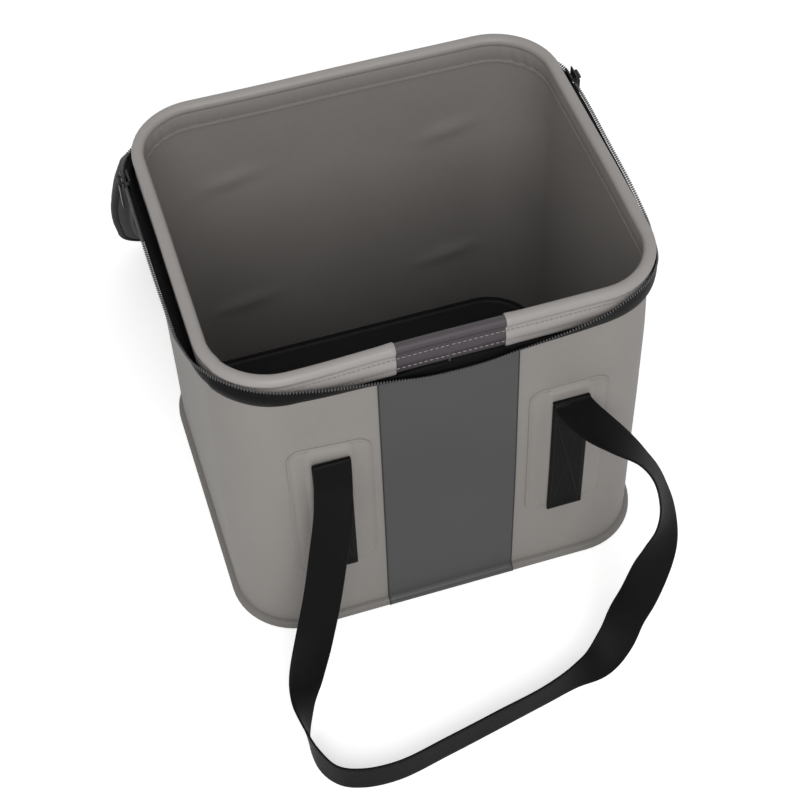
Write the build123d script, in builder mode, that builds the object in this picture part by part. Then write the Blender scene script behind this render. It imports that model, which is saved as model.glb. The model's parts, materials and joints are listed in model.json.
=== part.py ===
from build123d import *
from math import acos, atan2, cos, degrees, hypot, radians, sin, tan
import os

os.makedirs("parts", exist_ok=True)

# Millimetres. Origin on the floor under the middle of the bag, +X right, +Y back, +Z up.

# Body of the bag, over the outside of its wall
BODY_WIDTH = 300.0
BODY_DEPTH = 260.0
CORNER_RADIUS = 45.0
RIM_HEIGHT = 276.0
SHEET = 1.6
SEAM_GAP = 0.1

# Base
BASE_THICKNESS = 3.0
BASE_LIP = 4.0
BASE_UPSTAND_HEIGHT = 6.0
BASE_UPSTAND_WALL = 2.0
BASE_EDGE_ROUND = 0.8
WELT_HEIGHT = 3.2

# Rim: a rod inside a folded cover with a sewn leg on each side of the wall
BEAD_RADIUS = 4.3
ROD_RADIUS = 2.9
COVER_LEG = 1.5
OUTER_LEG_DROP = 21.0
INNER_LEG_DROP = 19.0
RIM_PATCH_WIDTH = 72.0
RIM_PATCH_SHEET = 0.8
RIM_PATCH_INNER_DROP = 14.0

# Contrast stripe on the front
STRIPE_MARGIN = 7.5
STRIPE_CLEAR = 2.5
STRIPE_CENTRE = -1.0
STRIPE_SHEET = 0.8

# Zip
TAPE_SHEET = 0.6
TAPE_TUCK = 9.0
TAPE_DIP = 0.8
TAPE_TURN = 0.7
TAPE_TURN_IN = 2.5
TAPE_SEAM = 4.0
COIL_RADIUS = 1.2
COIL_SPREAD = 3.6
ZIP_REACH = 11.0
ZIP_DROP = 9.5
ZIP_CORNER_ANGLE = 40.0

# Handles
HANDLE_SPACING = 166.0
PATCH_WIDTH = 57.0
PATCH_HEIGHT = 132.0
PATCH_CENTRE_HEIGHT = 133.0
PATCH_RADIUS = 10.0
PATCH_SHEET = 1.0
PATCH_EDGE_ROUND = 0.4
PAD_WIDTH = 30.0
PAD_HEIGHT = 124.0
PAD_RADIUS = 3.0
PAD_THICKNESS = 1.6
WEBBING_WIDTH = 26.0
WEBBING_THICKNESS = 1.5
TAIL_BOTTOM = 70.0
FOLD_HEIGHT = 186.0
FOLD_RADIUS = 2.15
RUNNING_GAP = 0.35
LID_CLEAR = 17.0
STRAP_STEPS = 2

# Lid, drawn closed on its own plane and then hung open behind the bag
LID_OVERHANG = 6.0
LID_CORNER_RADIUS = 51.0
LID_PANEL = 3.2
LID_RIDGE_INSET = 11.0
LID_RIDGE_WIDTH = 4.5
LID_RIDGE_RISE = 4.0
LID_RIDGE_ROUND = 1.5
LID_FIELD_RISE = 2.5
LID_LINING = 0.8
LID_LIFT = 0.3
BINDING_WIDTH = 1.5
HINGE_DROP = 17.5
HINGE_STANDOFF = 1.0
HINGE_STRIP_WIDTH = 200.0
HINGE_STRIP_REACH = 24.0
HINGE_STRIP_SHEET = 1.2
HINGE_CLOSED_TILT = 9.0
HINGE_EDGE_GAP = 1.2
FLOOR_GAP = 0.5

# Zip sliders and their pullers
SLIDER_SETBACK = 50.0
SLIDER_LENGTH = 12.0
SLIDER_PLATE = 1.0
SLIDER_GAP = 0.3
INNER_PLATE_TOP = 5.2
INNER_PLATE_HEIGHT = 6.2
OUTER_PLATE_TOP = 5.5
OUTER_PLATE_HEIGHT = 8.5
POST_LENGTH = 3.0
EAR_LENGTH = 1.2
EAR_RADIUS = 1.4
EAR_REACH = 2.0
PIN_LIFT = 2.5
PIN_RADIUS = 0.7
PIN_GAP = 0.1
PULLER_HEAD_RADIUS = 1.5
PULLER_WIDTH = 4.2
PULLER_NECK = 2.4
PULLER_TAB_WIDTH = 8.0
PULLER_TAB_ROUND = 2.5
PULLER_LENGTH = 24.0
PULLER_THICKNESS = 1.4

# Places worked out from the sizes above. "Out" is the distance outside the wall's outer face.
half_width = BODY_WIDTH / 2
half_depth = BODY_DEPTH / 2
inside_of_wall = -SHEET
bead_out = -SHEET / 2
wall_bottom = BASE_THICKNESS + SEAM_GAP
wall_top = RIM_HEIGHT - ROD_RADIUS - 2 * SEAM_GAP
welt_top = wall_bottom + WELT_HEIGHT
tape_out = SEAM_GAP
cover_out = tape_out + TAPE_SHEET + SEAM_GAP
cover_face = cover_out + COVER_LEG
flange_bottom = RIM_HEIGHT - OUTER_LEG_DROP
lower_coil_height = RIM_HEIGHT - ZIP_DROP
upper_coil_height = lower_coil_height + COIL_SPREAD

# The strip hinge: one line on the flange, the other on the lid's rear edge
hinge_out = cover_face + HINGE_STANDOFF
hinge_height = RIM_HEIGHT - HINGE_DROP
closed_tilt = radians(HINGE_CLOSED_TILT)
lid_line_y = half_depth + hinge_out + HINGE_STRIP_REACH * sin(closed_tilt)
lid_line_z = hinge_height + HINGE_STRIP_REACH * cos(closed_tilt)
lid_rear = lid_line_y - HINGE_EDGE_GAP - BINDING_WIDTH - SEAM_GAP
lid_front = -half_depth - LID_OVERHANG
lid_depth = lid_rear - lid_front
lid_width = BODY_WIDTH + 2 * LID_OVERHANG
lid_middle = (lid_rear + lid_front) / 2 - lid_line_y
lining_base = LID_LIFT
panel_base = lining_base + LID_LINING + SEAM_GAP
panel_face = panel_base + LID_PANEL

# Hung open, the lid leans back until its front edge rests on the floor
hang_length = HINGE_STRIP_REACH + lid_line_y - lid_front + SEAM_GAP + BINDING_WIDTH
lean = atan2(panel_face, hang_length)
lean = lean + acos((hinge_height - FLOOR_GAP) / hypot(hang_length, panel_face))
hung_line = (
    0,
    half_depth + hinge_out + HINGE_STRIP_REACH * sin(lean),
    hinge_height - HINGE_STRIP_REACH * cos(lean),
)
lid_up = (0, -cos(lean), -sin(lean))
lid_plane = Plane(origin=hung_line, x_dir=(1, 0, 0), z_dir=lid_up)

# The stripe fills the room between the front patches
stripe_width = HANDLE_SPACING - PATCH_WIDTH - 2 * STRIPE_MARGIN

# Layers on the front and back walls, under each end of a handle
patch_out = SEAM_GAP
pad_out = patch_out + PATCH_SHEET + SEAM_GAP
tail_out = pad_out + PAD_THICKNESS + SEAM_GAP
fold_out = pad_out + PAD_THICKNESS + RUNNING_GAP + FOLD_RADIUS
tail_top = FOLD_HEIGHT - FOLD_RADIUS - RUNNING_GAP
tail_height = tail_top - TAIL_BOTTOM

# The handles lie on the floor on edge. The back one reaches out as far as the hung lid leaves room.
leg_x = HANDLE_SPACING / 2
leg_out = fold_out + FOLD_RADIUS - WEBBING_THICKNESS / 2
ridge_out = (panel_face + LID_RIDGE_RISE) / cos(lean)
lid_face_y = hung_line[1] + (hung_line[2] - WEBBING_WIDTH - FLOOR_GAP) * tan(lean) - ridge_out
back_reach = lid_face_y - half_depth - LID_CLEAR


# Which wall a piece is on
FRONT = -1
BACK = 1

# Section through the middle of the front wall: x out of the bag, y up
FRONT_SECTION = Plane(origin=(0, -half_depth, 0), x_dir=(0, -1, 0), z_dir=(-1, 0, 0))


def wall_face(side, out):
    """Plane on the front or back wall that faces outwards, that far outside it."""
    return Plane(origin=(0, side * (half_depth + out), 0), x_dir=(-side, 0, 0), z_dir=(0, side, 0))


def finish(part, name):
    """Label a finished piece and write it."""
    part.label = name
    export_step(part, f"parts/{name}.step")


def strip_outline(points, thickness):
    """Corners of a strip of that thickness that follows an open line of points."""
    sides = ([], [])
    for i, (a, b) in enumerate(points):
        before = points[max(i - 1, 0)]
        after = points[min(i + 1, len(points) - 1)]
        first = degrees(atan2(b - before[1], a - before[0]))
        second = degrees(atan2(after[1] - b, after[0] - a))
        if i == 0:
            first = second
        if i == len(points) - 1:
            second = first
        turn = (second - first + 180) % 360 - 180
        middle = radians(first + turn / 2 + 90)
        reach = thickness / 2 / cos(radians(turn / 2))
        sides[0].append((a + reach * cos(middle), b + reach * sin(middle)))
        sides[1].append((a - reach * cos(middle), b - reach * sin(middle)))
    return sides[0] + sides[1][::-1]


def rim_ring():
    """Closed line round the wall's outer face, from the middle of the front."""
    x, y, r = half_width, half_depth, CORNER_RADIUS
    Line((0, -y), (x - r, -y))
    CenterArc((x - r, r - y), r, 270, 90)
    Line((x, r - y), (x, y - r))
    CenterArc((x - r, y - r), r, 0, 90)
    Line((x - r, y), (r - x, y))
    CenterArc((r - x, y - r), r, 90, 90)
    Line((-x, y - r), (-x, r - y))
    CenterArc((r - x, r - y), r, 180, 90)
    Line((r - x, -y), (0, -y))


def zip_line(middle=0.0):
    """Open line along the sides and front that the zip follows, into both rear corners."""
    x, y, r = half_width, half_depth, CORNER_RADIUS
    low, high = middle - y + r, middle + y - r
    CenterArc((r - x, high), r, 180 - ZIP_CORNER_ANGLE, ZIP_CORNER_ANGLE)
    Line((-x, high), (-x, low))
    CenterArc((r - x, low), r, 180, 90)
    Line((r - x, middle - y), (x - r, middle - y))
    CenterArc((x - r, low), r, 270, 90)
    Line((x, low), (x, high))
    CenterArc((x - r, high), r, 0, ZIP_CORNER_ANGLE)


def across(line, up=(0, 0, 1)):
    """Plane across the start of a line: its x points out of the bag and its y along up."""
    start, along = line @ 0, line % 0
    return Plane(origin=start, x_dir=along.cross(Vector(up)), z_dir=-along)


# Base tray: the floor plate with an upstand that the wall is welded round
with BuildPart() as base_tray:
    with BuildSketch():
        RectangleRounded(
            BODY_WIDTH + 2 * BASE_LIP, BODY_DEPTH + 2 * BASE_LIP, CORNER_RADIUS + BASE_LIP
        )
    extrude(amount=BASE_THICKNESS)
    fillet(base_tray.edges().group_by(Axis.Z)[0], radius=BASE_EDGE_ROUND)
    upstand_inset = SHEET + SEAM_GAP
    with BuildSketch(Plane.XY.offset(BASE_THICKNESS)):
        RectangleRounded(
            BODY_WIDTH - 2 * upstand_inset,
            BODY_DEPTH - 2 * upstand_inset,
            CORNER_RADIUS - upstand_inset,
        )
        offset(amount=-BASE_UPSTAND_WALL, mode=Mode.SUBTRACT)
    extrude(amount=BASE_UPSTAND_HEIGHT - BASE_THICKNESS)
finish(base_tray.part, "base_tray")

# Base welt: the lip that runs round the foot of the wall
with BuildPart() as base_welt:
    with BuildSketch(Plane.XY.offset(wall_bottom)):
        RectangleRounded(
            BODY_WIDTH + 2 * BASE_LIP, BODY_DEPTH + 2 * BASE_LIP, CORNER_RADIUS + BASE_LIP
        )
        RectangleRounded(
            BODY_WIDTH + 2 * SEAM_GAP,
            BODY_DEPTH + 2 * SEAM_GAP,
            CORNER_RADIUS + SEAM_GAP,
            mode=Mode.SUBTRACT,
        )
    extrude(amount=WELT_HEIGHT)
    fillet(base_welt.faces().sort_by(Axis.Z)[-1].outer_wire().edges(), radius=BASE_EDGE_ROUND)
finish(base_welt.part, "base_welt")

# Wall: one welded band of coated sheet
with BuildPart() as wall_shell:
    with BuildSketch(Plane.XY.offset(wall_bottom)):
        RectangleRounded(BODY_WIDTH, BODY_DEPTH, CORNER_RADIUS)
        offset(amount=-SHEET, mode=Mode.SUBTRACT)
    extrude(amount=wall_top - wall_bottom)
finish(wall_shell.part, "wall_shell")

# Stripe: a darker sheet welded down the middle of the front
with BuildPart() as stripe_panel:
    stripe_bottom = welt_top + SEAM_GAP
    stripe_top = flange_bottom - STRIPE_CLEAR
    with BuildSketch(wall_face(FRONT, SEAM_GAP)):
        with Locations((STRIPE_CENTRE, (stripe_bottom + stripe_top) / 2)):
            Rectangle(stripe_width, stripe_top - stripe_bottom)
    extrude(amount=STRIPE_SHEET)
finish(stripe_panel.part, "stripe_panel")

# Rim rod: the stiff rod that holds the mouth open
with BuildPart() as rim_rod:
    with BuildLine() as ring:
        rim_ring()
    with BuildSketch(across(ring.wire())):
        with Locations((bead_out, RIM_HEIGHT)):
            Circle(ROD_RADIUS)
    sweep(path=ring.wire())
finish(rim_rod.part, "rim_rod")

# Rim cover: folded over the rod and sewn to the wall inside and out
with BuildPart() as rim_cover:
    with BuildLine() as ring:
        rim_ring()
    with BuildSketch(across(ring.wire())):
        with Locations((bead_out, RIM_HEIGHT)):
            Circle(BEAD_RADIUS)
        inner_leg_face = inside_of_wall - SEAM_GAP - COVER_LEG
        with Locations((cover_face, RIM_HEIGHT)):
            Rectangle(COVER_LEG, OUTER_LEG_DROP, align=(Align.MAX, Align.MAX))
        with Locations((inner_leg_face, RIM_HEIGHT)):
            Rectangle(COVER_LEG, INNER_LEG_DROP, align=(Align.MIN, Align.MAX))
        with Locations((bead_out, RIM_HEIGHT)):
            Circle(ROD_RADIUS + SEAM_GAP, mode=Mode.SUBTRACT)
        with Locations((inside_of_wall - SEAM_GAP, RIM_HEIGHT)):
            Rectangle(
                cover_out - inside_of_wall + SEAM_GAP,
                OUTER_LEG_DROP,
                align=(Align.MIN, Align.MAX),
                mode=Mode.SUBTRACT,
            )
    sweep(path=ring.wire())
finish(rim_cover.part, "rim_cover")

# Rim patch: the darker piece that hides the cover's joint in the middle of the front
with BuildPart() as rim_joint_patch:
    with BuildSketch(FRONT_SECTION):
        with Locations((bead_out, RIM_HEIGHT)):
            Circle(BEAD_RADIUS + SEAM_GAP + RIM_PATCH_SHEET)
        patch_face = cover_face + SEAM_GAP + RIM_PATCH_SHEET
        inner_patch_face = inner_leg_face - SEAM_GAP - RIM_PATCH_SHEET
        with Locations((patch_face, RIM_HEIGHT)):
            Rectangle(RIM_PATCH_SHEET, OUTER_LEG_DROP, align=(Align.MAX, Align.MAX))
        with Locations((inner_patch_face, RIM_HEIGHT)):
            Rectangle(RIM_PATCH_SHEET, RIM_PATCH_INNER_DROP, align=(Align.MIN, Align.MAX))
        with Locations((bead_out, RIM_HEIGHT)):
            Circle(BEAD_RADIUS + SEAM_GAP, mode=Mode.SUBTRACT)
        with Locations((inner_leg_face - SEAM_GAP, RIM_HEIGHT)):
            Rectangle(
                cover_face - inner_leg_face + 2 * SEAM_GAP,
                OUTER_LEG_DROP,
                align=(Align.MIN, Align.MAX),
                mode=Mode.SUBTRACT,
            )
    extrude(amount=RIM_PATCH_WIDTH / 2, both=True)
finish(rim_joint_patch.part, "rim_joint_patch")

# Lower zip tape: tucked under the flange, then turned out and up to the teeth
tape_middle = tape_out + TAPE_SHEET / 2
turn_height = flange_bottom - TAPE_SHEET / 2 - TAPE_DIP
turn_out = cover_face + TAPE_TURN
lower_slant = Vector(ZIP_REACH - turn_out, lower_coil_height - turn_height).normalized()
lower_tip = Vector(ZIP_REACH, lower_coil_height) - lower_slant * (COIL_RADIUS + SEAM_GAP)
with BuildPart() as lower_zip_tape:
    with BuildLine() as route:
        zip_line()
    with BuildSketch(across(route.wire())):
        lower_run = (
            (tape_middle, flange_bottom + TAPE_TUCK),
            (tape_middle, turn_height),
            (turn_out, turn_height),
            (lower_tip.X, lower_tip.Y),
        )
        with BuildLine():
            Polyline(*strip_outline(lower_run, TAPE_SHEET), close=True)
        make_face()
    sweep(path=route.wire())
finish(lower_zip_tape.part, "lower_zip_tape")

# Lower zip coil: the row of teeth along the tape's edge
with BuildPart() as lower_zip_coil:
    with BuildLine() as route:
        zip_line()
    with BuildSketch(across(route.wire())):
        with Locations((ZIP_REACH, lower_coil_height)):
            Circle(COIL_RADIUS)
    sweep(path=route.wire())
finish(lower_zip_coil.part, "lower_zip_coil")

# Four handle ends, each a welded patch, a backing pad and the sewn tail of the webbing
for wall, side in (("front", FRONT), ("back", BACK)):
    for hand, place in (("left", -1), ("right", 1)):
        across_wall = -side * place * HANDLE_SPACING / 2

        with BuildPart() as handle_patch:
            with BuildSketch(wall_face(side, patch_out)):
                with Locations((across_wall, PATCH_CENTRE_HEIGHT)):
                    RectangleRounded(PATCH_WIDTH, PATCH_HEIGHT, PATCH_RADIUS)
            extrude(amount=PATCH_SHEET)
            outer_face = handle_patch.faces().sort_by(Axis((0, 0, 0), (0, side, 0)))[-1]
            fillet(outer_face.edges(), radius=PATCH_EDGE_ROUND)
        finish(handle_patch.part, f"handle_patch_{wall}_{hand}")

        with BuildPart() as handle_pad:
            with BuildSketch(wall_face(side, pad_out)):
                with Locations((across_wall, PATCH_CENTRE_HEIGHT)):
                    RectangleRounded(PAD_WIDTH, PAD_HEIGHT, PAD_RADIUS)
            extrude(amount=PAD_THICKNESS)
            outer_face = handle_pad.faces().sort_by(Axis((0, 0, 0), (0, side, 0)))[-1]
            fillet(outer_face.edges(), radius=PATCH_EDGE_ROUND)
        finish(handle_pad.part, f"handle_pad_{wall}_{hand}")

        with BuildPart() as webbing_tail:
            with BuildSketch(wall_face(side, tail_out)):
                with Locations((across_wall, TAIL_BOTTOM + tail_height / 2)):
                    Rectangle(WEBBING_WIDTH, tail_height)
            extrude(amount=WEBBING_THICKNESS)
        finish(webbing_tail.part, f"webbing_tail_{wall}_{hand}")


def strap(route):
    """Flat webbing along a route of (middle, direction of its width), with a roll at each end."""
    with BuildLine(mode=Mode.PRIVATE) as middle_line:
        Spline(*[point for point, width in route])
    line = middle_line.edge()
    places = [line.param_at_point(Vector(*point)) for point, width in route]
    last = len(route) - 1
    sections = []
    for i in range(last * STRAP_STEPS + 1):
        k = min(i // STRAP_STEPS, last - 1)
        share = i / STRAP_STEPS - k
        at = places[k] + (places[k + 1] - places[k]) * share
        start, along = line.position_at(at), line.tangent_at(at)
        width = Vector(*route[k][1]) * (1 - share) + Vector(*route[k + 1][1]) * share
        width = width - along * width.dot(along)
        with BuildSketch(Plane(origin=start, x_dir=width, z_dir=along)) as section:
            Rectangle(WEBBING_WIDTH, WEBBING_THICKNESS)
        sections.append(section.sketch)
    loft(sections, ruled=True)


def rolls(side):
    """The rolled ends of a handle, over the tails on that wall."""
    for place in (-1, 1):
        middle = (place * HANDLE_SPACING / 2, side * (half_depth + fold_out), FOLD_HEIGHT)
        with Locations(Location(middle, (0, 90, 0))):
            Cylinder(FOLD_RADIUS, WEBBING_WIDTH)


# Routes of the handles. A station has its place sideways, as a share of the distance to a leg, its place
# out from the wall and its height, as shares of the fold's height, and the direction of the webbing's
# width. On the back handle, out is a share of the handle's reach.
edge = (WEBBING_WIDTH / 2 + FLOOR_GAP) / FOLD_HEIGHT
front_leg = (leg_out / FOLD_HEIGHT, 1, (1, 0, 0))
front_stations = (
    (-1, *front_leg),
    (-1.012, 0.054, 0.914, (1, -0.05, 0)),
    (-1.06, 0.102, 0.796, (0.97, -0.2, -0.05)),
    (-1.157, 0.156, 0.634, (0.92, -0.37, -0.12)),
    (-1.265, 0.21, 0.462, (0.9, -0.4, -0.15)),
    (-1.398, 0.269, 0.296, (0.91, -0.36, -0.21)),
    (-1.518, 0.333, 0.177, (0.91, -0.06, -0.41)),
    (-1.602, 0.409, 0.113, (0.61, 0.23, -0.76)),
    (-1.639, 0.511, 0.083, (0.13, 0.18, -0.98)),
    (-1.602, 0.624, edge, (-0.05, 0, -1)),
    (-1.494, 0.704, edge, (0, 0, -1)),
    (-1.313, 0.742, edge, (0, 0, -1)),
    (-1.012, 0.753, edge, (0, 0, -1)),
    (-0.554, 0.715, edge, (0, 0, -1)),
    (-0.096, 0.672, edge, (0, 0, -1)),
    (0.349, 0.629, edge, (0, 0, -1)),
    (0.663, 0.591, 0.078, (0.1, -0.15, -0.98)),
    (0.892, 0.57, 0.099, (0.5, -0.5, -0.7)),
    (1.06, 0.532, 0.161, (0.69, -0.65, -0.31)),
    (1.169, 0.5, 0.247, (0.69, -0.7, -0.18)),
    (1.265, 0.489, 0.344, (0.71, -0.67, -0.19)),
    (1.361, 0.473, 0.462, (0.86, -0.46, -0.23)),
    (1.446, 0.457, 0.586, (0.97, 0.04, -0.24)),
    (1.494, 0.43, 0.699, (0.79, 0.58, -0.22)),
    (1.494, 0.392, 0.796, (0.55, 0.78, -0.31)),
    (1.458, 0.339, 0.871, (0.43, 0.79, -0.43)),
    (1.373, 0.285, 0.919, (0.43, 0.81, -0.4)),
    (1.241, 0.22, 0.952, (0.7, 0.69, -0.16)),
    (1.108, 0.145, 0.973, (0.87, 0.45, 0.1)),
    (1.024, 0.075, 0.989, (0.97, 0.2, 0.1)),
    (1, *front_leg),
)
with BuildPart() as front_handle_webbing:
    strap(
        [
            ((x * leg_x, -half_depth - out * FOLD_HEIGHT, z * FOLD_HEIGHT), width)
            for x, out, z, width in front_stations
        ]
    )
    rolls(FRONT)
finish(front_handle_webbing.part, "front_handle_webbing")

# Back handle: both legs fall straight and the loop stands on edge under the open lid
back_stations = (
    (1, 0, 1, (-1, 0, 0)),
    (1.012, 0.03, 0.914, (-1, 0.05, 0)),
    (1.06, 0.103, 0.785, (-0.98, 0.2, -0.05)),
    (1.145, 0.185, 0.624, (-0.94, 0.3, -0.1)),
    (1.241, 0.276, 0.452, (-0.92, 0.35, -0.15)),
    (1.349, 0.376, 0.29, (-0.92, 0.3, -0.22)),
    (1.434, 0.485, 0.177, (-0.9, 0.05, -0.42)),
    (1.482, 0.613, 0.113, (-0.6, -0.2, -0.76)),
    (1.47, 0.75, 0.083, (-0.13, -0.15, -0.98)),
    (1.361, 0.877, edge, (0, 0, -1)),
    (1.145, 0.95, edge, (0, 0, -1)),
    (0.783, 0.986, edge, (0, 0, -1)),
    (0.361, 0.995, edge, (0, 0, -1)),
)
right_leg = [
    (
        (x * leg_x, half_depth + leg_out + out * (back_reach - leg_out), z * FOLD_HEIGHT),
        width,
    )
    for x, out, z, width in back_stations
]
left_leg = [((-x, y, z), (-a, b, c)) for (x, y, z), (a, b, c) in reversed(right_leg)]
back_middle = (((0, half_depth + back_reach, edge * FOLD_HEIGHT), (0, 0, -1)),)
with BuildPart() as back_handle_webbing:
    strap((*right_leg, *back_middle, *left_leg))
    rolls(BACK)
finish(back_handle_webbing.part, "back_handle_webbing")

# Hinge strip: the soft flap between the flange and the lid, hung from the flange
with BuildPart() as hinge_strip:
    strip_y = half_depth + hinge_out + HINGE_STRIP_REACH / 2 * sin(lean)
    strip_z = hinge_height - HINGE_STRIP_REACH / 2 * cos(lean)
    with BuildSketch(Plane.YZ):
        with Locations((strip_y, strip_z)):
            SlotCenterToCenter(HINGE_STRIP_REACH, HINGE_STRIP_SHEET, rotation=degrees(lean) - 90)
    extrude(amount=HINGE_STRIP_WIDTH / 2, both=True)
finish(hinge_strip.part, "hinge_strip")

# Lid lining: the flat inner sheet
with BuildPart() as lid_lining:
    lining_inset = LID_OVERHANG + TAPE_SEAM + SEAM_GAP
    with BuildSketch(lid_plane.offset(lining_base)):
        with Locations((0, lid_middle)):
            RectangleRounded(
                lid_width - 2 * lining_inset,
                lid_depth - 2 * lining_inset,
                LID_CORNER_RADIUS - lining_inset,
            )
    extrude(amount=LID_LINING)
finish(lid_lining.part, "lid_lining")

# Lid panel: moulded, with a ridge all round and a raised field inside it
with BuildPart() as lid_panel:
    with BuildSketch(lid_plane.offset(panel_base)):
        with Locations((0, lid_middle)):
            RectangleRounded(lid_width, lid_depth, LID_CORNER_RADIUS)
    extrude(amount=LID_PANEL)
    with BuildSketch(lid_plane.offset(panel_face)):
        with Locations((0, lid_middle)):
            RectangleRounded(
                lid_width - 2 * LID_RIDGE_INSET,
                lid_depth - 2 * LID_RIDGE_INSET,
                LID_CORNER_RADIUS - LID_RIDGE_INSET,
            )
    extrude(amount=LID_RIDGE_RISE)
    ridge_top = lid_panel.faces().sort_by(Axis(hung_line, lid_up))[-1]
    fillet(ridge_top.edges(), radius=LID_RIDGE_ROUND)
    field_inset = LID_RIDGE_INSET + LID_RIDGE_WIDTH
    with BuildSketch(lid_plane.offset(panel_face + LID_FIELD_RISE)):
        with Locations((0, lid_middle)):
            RectangleRounded(
                lid_width - 2 * field_inset,
                lid_depth - 2 * field_inset,
                LID_CORNER_RADIUS - field_inset,
            )
    extrude(amount=LID_RIDGE_RISE - LID_FIELD_RISE, mode=Mode.SUBTRACT)
finish(lid_panel.part, "lid_panel")

# Lid binding: the strip that closes the panel's edge
with BuildPart() as lid_binding:
    with BuildSketch(lid_plane.offset(lining_base)):
        with Locations((0, lid_middle)):
            RectangleRounded(
                lid_width + 2 * (SEAM_GAP + BINDING_WIDTH),
                lid_depth + 2 * (SEAM_GAP + BINDING_WIDTH),
                LID_CORNER_RADIUS + SEAM_GAP + BINDING_WIDTH,
            )
            RectangleRounded(
                lid_width + 2 * SEAM_GAP,
                lid_depth + 2 * SEAM_GAP,
                LID_CORNER_RADIUS + SEAM_GAP,
                mode=Mode.SUBTRACT,
            )
    extrude(amount=panel_face - lining_base)
finish(lid_binding.part, "lid_binding")

# Upper zip tape: sewn under the lid's edge and turned down to the teeth
upper_coil_drop = upper_coil_height - lid_line_z
tape_level = lining_base + TAPE_SHEET / 2
upper_turn_out = LID_OVERHANG - TAPE_TURN_IN
upper_slant = Vector(ZIP_REACH - upper_turn_out, upper_coil_drop - tape_level).normalized()
upper_tip = Vector(ZIP_REACH, upper_coil_drop) - upper_slant * (COIL_RADIUS + SEAM_GAP)
with BuildPart() as upper_zip_tape:
    with BuildLine(lid_plane) as route:
        zip_line(-lid_line_y)
    with BuildSketch(across(route.wire(), lid_up)):
        upper_run = (
            (-TAPE_SEAM, tape_level),
            (upper_turn_out, tape_level),
            (upper_tip.X, upper_tip.Y),
        )
        with BuildLine():
            Polyline(*strip_outline(upper_run, TAPE_SHEET), close=True)
        make_face()
    sweep(path=route.wire())
finish(upper_zip_tape.part, "upper_zip_tape")

# Upper zip coil
with BuildPart() as upper_zip_coil:
    with BuildLine(lid_plane) as route:
        zip_line(-lid_line_y)
    with BuildSketch(across(route.wire(), lid_up)):
        with Locations((ZIP_REACH, upper_coil_drop)):
            Circle(COIL_RADIUS)
    sweep(path=route.wire())
finish(upper_zip_coil.part, "upper_zip_coil")

# Two sliders, parked at the rear ends of the lower coil, and their hanging pullers
inner_plate_face = ZIP_REACH - COIL_RADIUS - SLIDER_GAP
outer_plate_face = ZIP_REACH + COIL_RADIUS + SLIDER_GAP
lug_face = outer_plate_face + SLIDER_PLATE
post_thickness = COIL_SPREAD - 2 * COIL_RADIUS - 2 * SLIDER_GAP
post_height = (lower_coil_height + upper_coil_height) / 2
pin_out = lug_face + EAR_REACH
pin_height = lower_coil_height + PIN_LIFT
ear_place = PULLER_WIDTH / 2 + SLIDER_GAP + EAR_LENGTH / 2
for hand, place in (("left", -1), ("right", 1)):
    side_section = Plane(
        origin=(place * half_width, half_depth - SLIDER_SETBACK, 0),
        x_dir=(place, 0, 0),
        z_dir=(0, -place, 0),
    )

    with BuildPart() as slider_body:
        with BuildSketch(side_section):
            with Locations((inner_plate_face, lower_coil_height + INNER_PLATE_TOP)):
                Rectangle(SLIDER_PLATE, INNER_PLATE_HEIGHT, align=(Align.MAX, Align.MAX))
            with Locations((outer_plate_face, lower_coil_height + OUTER_PLATE_TOP)):
                Rectangle(SLIDER_PLATE, OUTER_PLATE_HEIGHT, align=(Align.MIN, Align.MAX))
        extrude(amount=SLIDER_LENGTH / 2, both=True)
        lead = place * (SLIDER_LENGTH - POST_LENGTH) / 2
        with BuildSketch(side_section.offset(lead)):
            with Locations((ZIP_REACH, post_height)):
                Rectangle(outer_plate_face - inner_plate_face + SLIDER_PLATE, post_thickness)
        extrude(amount=POST_LENGTH / 2, both=True)
        for end in (-1, 1):
            with BuildSketch(side_section.offset(end * ear_place)):
                with Locations((pin_out, pin_height)):
                    Circle(EAR_RADIUS)
                    Rectangle(EAR_REACH + SLIDER_PLATE / 2, EAR_RADIUS, align=(Align.MAX, Align.CENTER))
            extrude(amount=EAR_LENGTH / 2, both=True)
        with BuildSketch(side_section):
            with Locations((pin_out, pin_height)):
                Circle(PIN_RADIUS)
        extrude(amount=ear_place, both=True)
    finish(slider_body.part, f"zip_slider_{hand}")

    with BuildPart() as puller:
        with BuildSketch(side_section):
            with Locations((pin_out, pin_height)):
                Circle(PULLER_HEAD_RADIUS)
                Rectangle(PULLER_THICKNESS, PULLER_NECK, align=(Align.CENTER, Align.MAX))
        extrude(amount=PULLER_WIDTH / 2, both=True)
        with BuildSketch(side_section):
            with Locations((pin_out, pin_height - PULLER_NECK)):
                Rectangle(
                    PULLER_THICKNESS,
                    PULLER_LENGTH - PULLER_NECK,
                    align=(Align.CENTER, Align.MAX),
                )
        extrude(amount=PULLER_TAB_WIDTH / 2, both=True)
        tab_corners = puller.edges().filter_by(Axis.X).group_by(Axis.Z)[0]
        fillet(tab_corners, radius=PULLER_TAB_ROUND)
        with BuildSketch(side_section):
            with Locations((pin_out, pin_height)):
                Circle(PIN_RADIUS + PIN_GAP)
        extrude(amount=PULLER_TAB_WIDTH, both=True, mode=Mode.SUBTRACT)
    finish(puller.part, f"zip_puller_{hand}")
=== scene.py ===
import json
import math

import bmesh
import bpy
from bpy.props import FloatProperty, FloatVectorProperty, IntProperty, PointerProperty
from mathutils import Matrix, Vector, noise


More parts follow.
